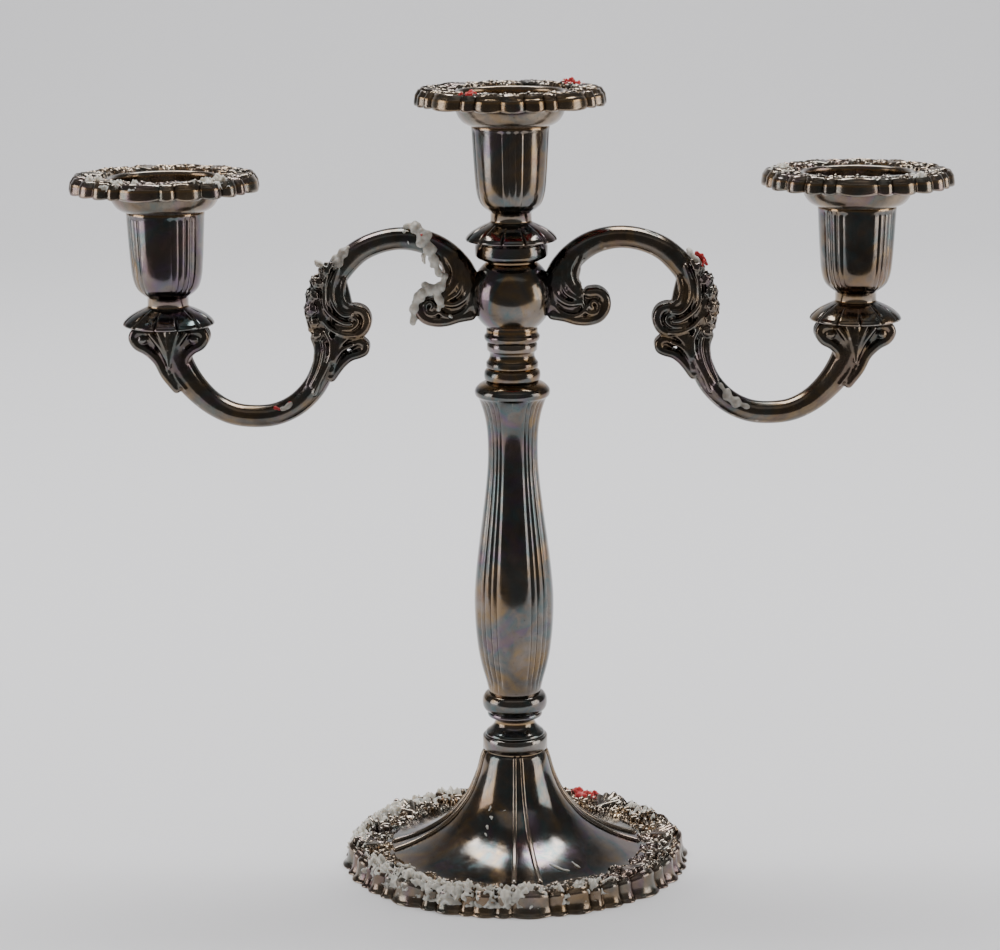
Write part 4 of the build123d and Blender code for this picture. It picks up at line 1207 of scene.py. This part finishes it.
def make_wax_on_arms(white, red, film):
    """Wax on the fronts of the arms, from the hub's centre: film is a thin, greyer smear."""
    at = hub_centre()
    make_drips("wax_on_left_arm", "branch", (
        (
            (-37.0, -1.0, 24.6, 1.2), (-34.6, -1.6, 24.6, 2.2), (-31.6, -3.4, 22.2, 2.7),
            (-29.2, -4.4, 17.6, 2.3), (-27.4, -4.6, 13.4, 1.9), (-25.6, -4.8, 8.4, 1.4),
        ),
        ((-37.8, -2.4, 22.6, 1.0), (-36.4, -3.6, 19.6, 0.7)),
        ((-31.0, -4.6, 14.6, 1.0), (-30.6, -4.6, 12.0, 0.7)),
        (
            (-23.4, -4.6, 7.4, 1.2), (-25.2, -4.4, 3.6, 2.0), (-29.4, -4.4, 2.4, 2.3),
            (-33.0, -4.0, -0.6, 2.2), (-34.6, -3.6, -5.0, 1.8), (-35.0, -3.4, -9.4, 1.2),
        ),
        ((-26.6, -4.8, 2.8, 1.9), (-25.4, -4.8, -1.6, 1.6), (-25.8, -4.8, -4.4, 1.1)),
        ((-21.8, -4.9, -6.8, 0.7), (-21.4, -4.9, -7.2, 0.7)),
    ), white, at, 2)
    make_drips("wax_film_on_left_arm", "branch", (
        ((-57.6, -2.2, 17.2, 1.5), (-60.2, -3.0, 14.2, 2.4), (-61.8, -4.2, 10.0, 1.4)),
        ((-69.2, -2.0, 12.6, 1.0), (-66.4, -3.4, 10.8, 1.2)),
        ((-81.2, -3.4, -40.2, 1.3), (-79.0, -3.2, -38.4, 1.1)),
    ), film, at, 5)
    make_drips("red_wax_on_left_arm", "branch", (
        ((-31.8, -6.2, 22.4, 0.45), (-31.4, -6.2, 22.0, 0.4)),
        ((-84.6, -3.0, -39.8, 0.9), (-83.0, -3.4, -40.4, 0.9)),
        ((-79.6, -3.4, -37.8, 0.5), (-79.0, -3.4, -37.6, 0.5)),
    ), red, at, 3, FINE_WAX_VOXEL)
    make_drips("wax_on_right_arm", "branch", (
        ((62.6, -1.6, 15.6, 1.0), (64.0, -3.2, 13.6, 1.3), (66.6, -3.0, 10.6, 1.2)),
        ((63.8, -4.2, 11.0, 0.7), (65.4, -4.6, 6.0, 0.5)),
        ((47.4, -1.4, 22.4, 0.6), (49.6, -2.0, 21.4, 0.8), (52.4, -1.8, 19.8, 0.6)),
    ), white, at, 7)
    make_drips("wax_film_on_right_arm", "branch", (
        (
            (73.8, -2.6, -33.0, 1.2), (77.0, -3.0, -37.4, 2.2), (80.8, -2.8, -39.8, 2.0),
            (84.4, -3.0, -41.2, 1.0),
        ),
    ), film, at, 8)
    make_drips("red_wax_on_right_arm", "branch", (
        ((65.4, -2.6, 14.6, 0.9), (67.2, -2.4, 12.8, 1.1), (69.0, -1.8, 10.4, 0.9)),
        ((68.0, -4.0, 12.0, 0.6), (66.8, -4.6, 9.6, 0.5)),
    ), red, at, 9, FINE_WAX_VOXEL)


def make_wax_on_bell(white):
    make_drips("flakes_on_bell", "stand", (
        ((-9.0, -15.6, 25.0, 0.5), (-9.6, -16.6, 24.2, 0.4)),
        ((-8.6, -17.8, 22.0, 0.7), (-8.8, -18.6, 21.4, 0.4)),
        ((-10.4, -19.4, 19.0, 0.9), (-10.2, -20.2, 18.4, 0.6)),
        ((-3.6, -17.4, 24.4, 0.4), (-4.6, -17.6, 24.2, 0.3)),
        ((-11.0, -21.6, 17.0, 0.6), (-10.6, -22.4, 16.4, 0.5)),
        ((12.0, -34.0, 9.6, 0.5), (16.5, -36.0, 8.4, 0.6), (19.0, -36.4, 8.0, 0.3)),
        ((-36.6, -29.4, 6.8, 0.9), (-40.0, -27.4, 6.6, 1.2), (-42.6, -24.4, 6.4, 0.8)),
        ((20.0, -31.0, 9.4, 0.4), (22.4, -33.4, 8.4, 0.4)),
    ), white, (0, 0, 0), 4, FINE_WAX_VOXEL)


# ---------------------------------------------------------------- CAD nodes that stay


def dress_cad_nodes(steel, blackened, brass, felt):
    finishes = {
        "bottom_plate": blackened, "base_felt": felt, "rod_washer": steel, "rod_nut": steel,
        "tie_rod": steel, "hub_rod": steel, "branch_spigot": brass, "nozzle_nut_centre": steel,
        "nozzle_screw_left": steel, "nozzle_screw_right": steel,
    }
    for name, material in finishes.items():
        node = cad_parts[name]
        if not node.material_slots:
            node.data.materials.append(material)
        for slot in node.material_slots:
            slot.material = material


# ---------------------------------------------------------------- room


def make_stage():
    """A pale table that sweeps up into the wall behind."""
    bm = bmesh.new()
    profile = curve(
        ((-0.42, 0.0), (0.2, 0.0), (1.0, 0.0), (1.9, 0.05), (2.45, 0.55), (2.6, 1.4), (2.6, 3.0)), 0.08,
    )
    edge = [bm.verts.new((-3.0, float(y), max(0.0, float(z)))) for y, z in profile]
    edges = [bm.edges.new(pair) for pair in zip(edge, edge[1:])]
    grown = bmesh.ops.extrude_edge_only(bm, edges=edges)
    far = [part for part in grown["geom"] if isinstance(part, bmesh.types.BMVert)]
    bmesh.ops.translate(bm, verts=far, vec=(6.0, 0, 0))
    bmesh.ops.recalc_face_normals(bm, faces=bm.faces)
    mesh = bpy.data.meshes.new("table")
    bm.to_mesh(mesh)
    bm.free()
    mesh.shade_smooth()
    material, _, shader = new_material("table_paint", Roughness=0.75)
    shader.inputs["Base Color"].default_value = (0.74, 0.74, 0.76, 1.0)
    mesh.materials.append(material)
    table = bpy.data.objects.new("table", mesh)
    bpy.context.scene.collection.objects.link(table)


def make_softbox(name, bearing, distance, width, height, middle_z, strength, tint):
    """A glowing panel with a dark egg-crate grid, upright, facing the object."""
    bm = bmesh.new()
    bmesh.ops.create_grid(bm, x_segments=1, y_segments=1, size=0.5)
    turn = radians(bearing)
    away = Matrix.Translation((distance, 0, middle_z))
    upright = Matrix.Rotation(-pi / 2, 4, "Y") @ Matrix.Diagonal((height, width, 1, 1))
    bmesh.ops.transform(bm, verts=bm.verts, matrix=Matrix.Rotation(turn, 4, "Z") @ away @ upright)
    mesh = bpy.data.meshes.new(name)
    bm.to_mesh(mesh)
    bm.free()
    material = bpy.data.materials.new(name + "_glow")
    material.use_nodes = True
    tree = material.node_tree
    tree.nodes.clear()
    place = add_node(tree, "ShaderNodeTexCoord").outputs["Object"]
    flat = add_node(tree, "ShaderNodeMapping", {"Vector": place, "Rotation": (0.0, 0.0, -turn)})
    swapped = add_node(
        tree, "ShaderNodeMapping", {"Vector": flat.outputs["Vector"], "Rotation": (0.0, pi / 2, 0.0)},
    )
    glowing, slats = (*tint, 1.0), (0.03, 0.03, 0.03, 1.0)
    crate = add_node(
        tree, "ShaderNodeTexBrick",
        {
            "Vector": swapped.outputs["Vector"], "Color1": glowing, "Color2": glowing, "Mortar": slats,
            "Scale": 1.0, "Mortar Size": 0.006, "Brick Width": 0.045, "Row Height": 0.045,
        },
        offset=0.0,
    )
    glow = add_node(tree, "ShaderNodeEmission", {"Color": crate.outputs["Color"], "Strength": strength})
    output = add_node(tree, "ShaderNodeOutputMaterial")
    tree.links.new(glow.outputs[0], output.inputs["Surface"])
    mesh.materials.append(material)
    box = bpy.data.objects.new(name, mesh)
    bpy.context.scene.collection.objects.link(box)


def make_lights():
    make_softbox("softbox_left", 189.0, 0.95, 0.54, 0.58, 0.32, 6.6, (1.0, 0.96, 0.95))
    make_softbox("softbox_right", -9.0, 0.95, 0.54, 0.58, 0.32, 6.6, (1.0, 0.96, 0.93))
    for name, size, depth, energy, place, lean in (
        ("wall_light", 2.4, 0.8, 84.0, (0.0, 0.55, 2.1), 6),
        ("ceiling_light", 1.8, 0.9, 1.8, (0.0, -0.9, 1.3), -35),
    ):
        data = bpy.data.lights.new(name, "AREA")
        data.shape = "RECTANGLE"
        data.size, data.size_y = size, depth
        data.energy = energy
        light = bpy.data.objects.new(name, data)
        light.location = place
        light.rotation_euler = (radians(lean), 0, 0)
        bpy.context.scene.collection.objects.link(light)
    world = bpy.data.worlds.new("room")
    world.use_nodes = True
    world.node_tree.nodes["Background"].inputs["Color"].default_value = (0.14, 0.135, 0.13, 1.0)
    bpy.context.scene.world = world


# ---------------------------------------------------------------- everything


def build():
    make_camera()
    tarnish = make_tarnish_group()
    silver = make_silver(
        "tarnished_silver", tarnish, (0.10, 0.084, 0.072, 1.0), (0.21, 0.182, 0.16, 1.0), tint=0.6, wear=0.3,
        polish=0.08,
    )
    cast = make_silver(
        "cast_silver", tarnish, (0.075, 0.062, 0.05, 1.0), (0.165, 0.135, 0.108, 1.0), tint=0.4, wear=0.3,
        polish=0.12, bump=0.15,
    )
    relief = make_silver(
        "flower_silver", tarnish, (0.12, 0.09, 0.064, 1.0), (0.29, 0.225, 0.165, 1.0), tint=0.45, wear=0.45,
        polish=0.14, bump=0.2,
    )
    steel = make_steel("zinc_steel", (0.42, 0.42, 0.43, 1.0), 0.3)
    blackened = make_steel("blackened_sheet", (0.06, 0.055, 0.055, 1.0), 0.45)
    brass = make_steel("dull_brass", (0.48, 0.33, 0.13, 1.0), 0.3)
    felt = make_felt("green_baize")
    white = make_wax_material("white_wax", (0.64, 0.62, 0.56, 1.0), (0.42, 0.41, 0.37, 1.0))
    red = make_wax_material("red_wax", (0.45, 0.03, 0.03, 1.0), (0.30, 0.015, 0.02, 1.0))
    film = make_wax_material("thin_wax", (0.42, 0.40, 0.36, 1.0), (0.26, 0.24, 0.21, 1.0))
    dress_cad_nodes(steel, blackened, brass, felt)
    make_foot(silver, relief)
    make_turned_pieces(silver)
    make_column(silver)
    make_neck(silver)
    make_skirts(silver)
    make_nozzles(silver)
    make_pans(relief)
    make_arms(cast)
    make_wax_on_foot(white, red)
    make_wax_on_pans(white, red)
    make_wax_on_arms(white, red, film)
    make_wax_on_bell(white)
    make_stage()
    make_lights()


build()
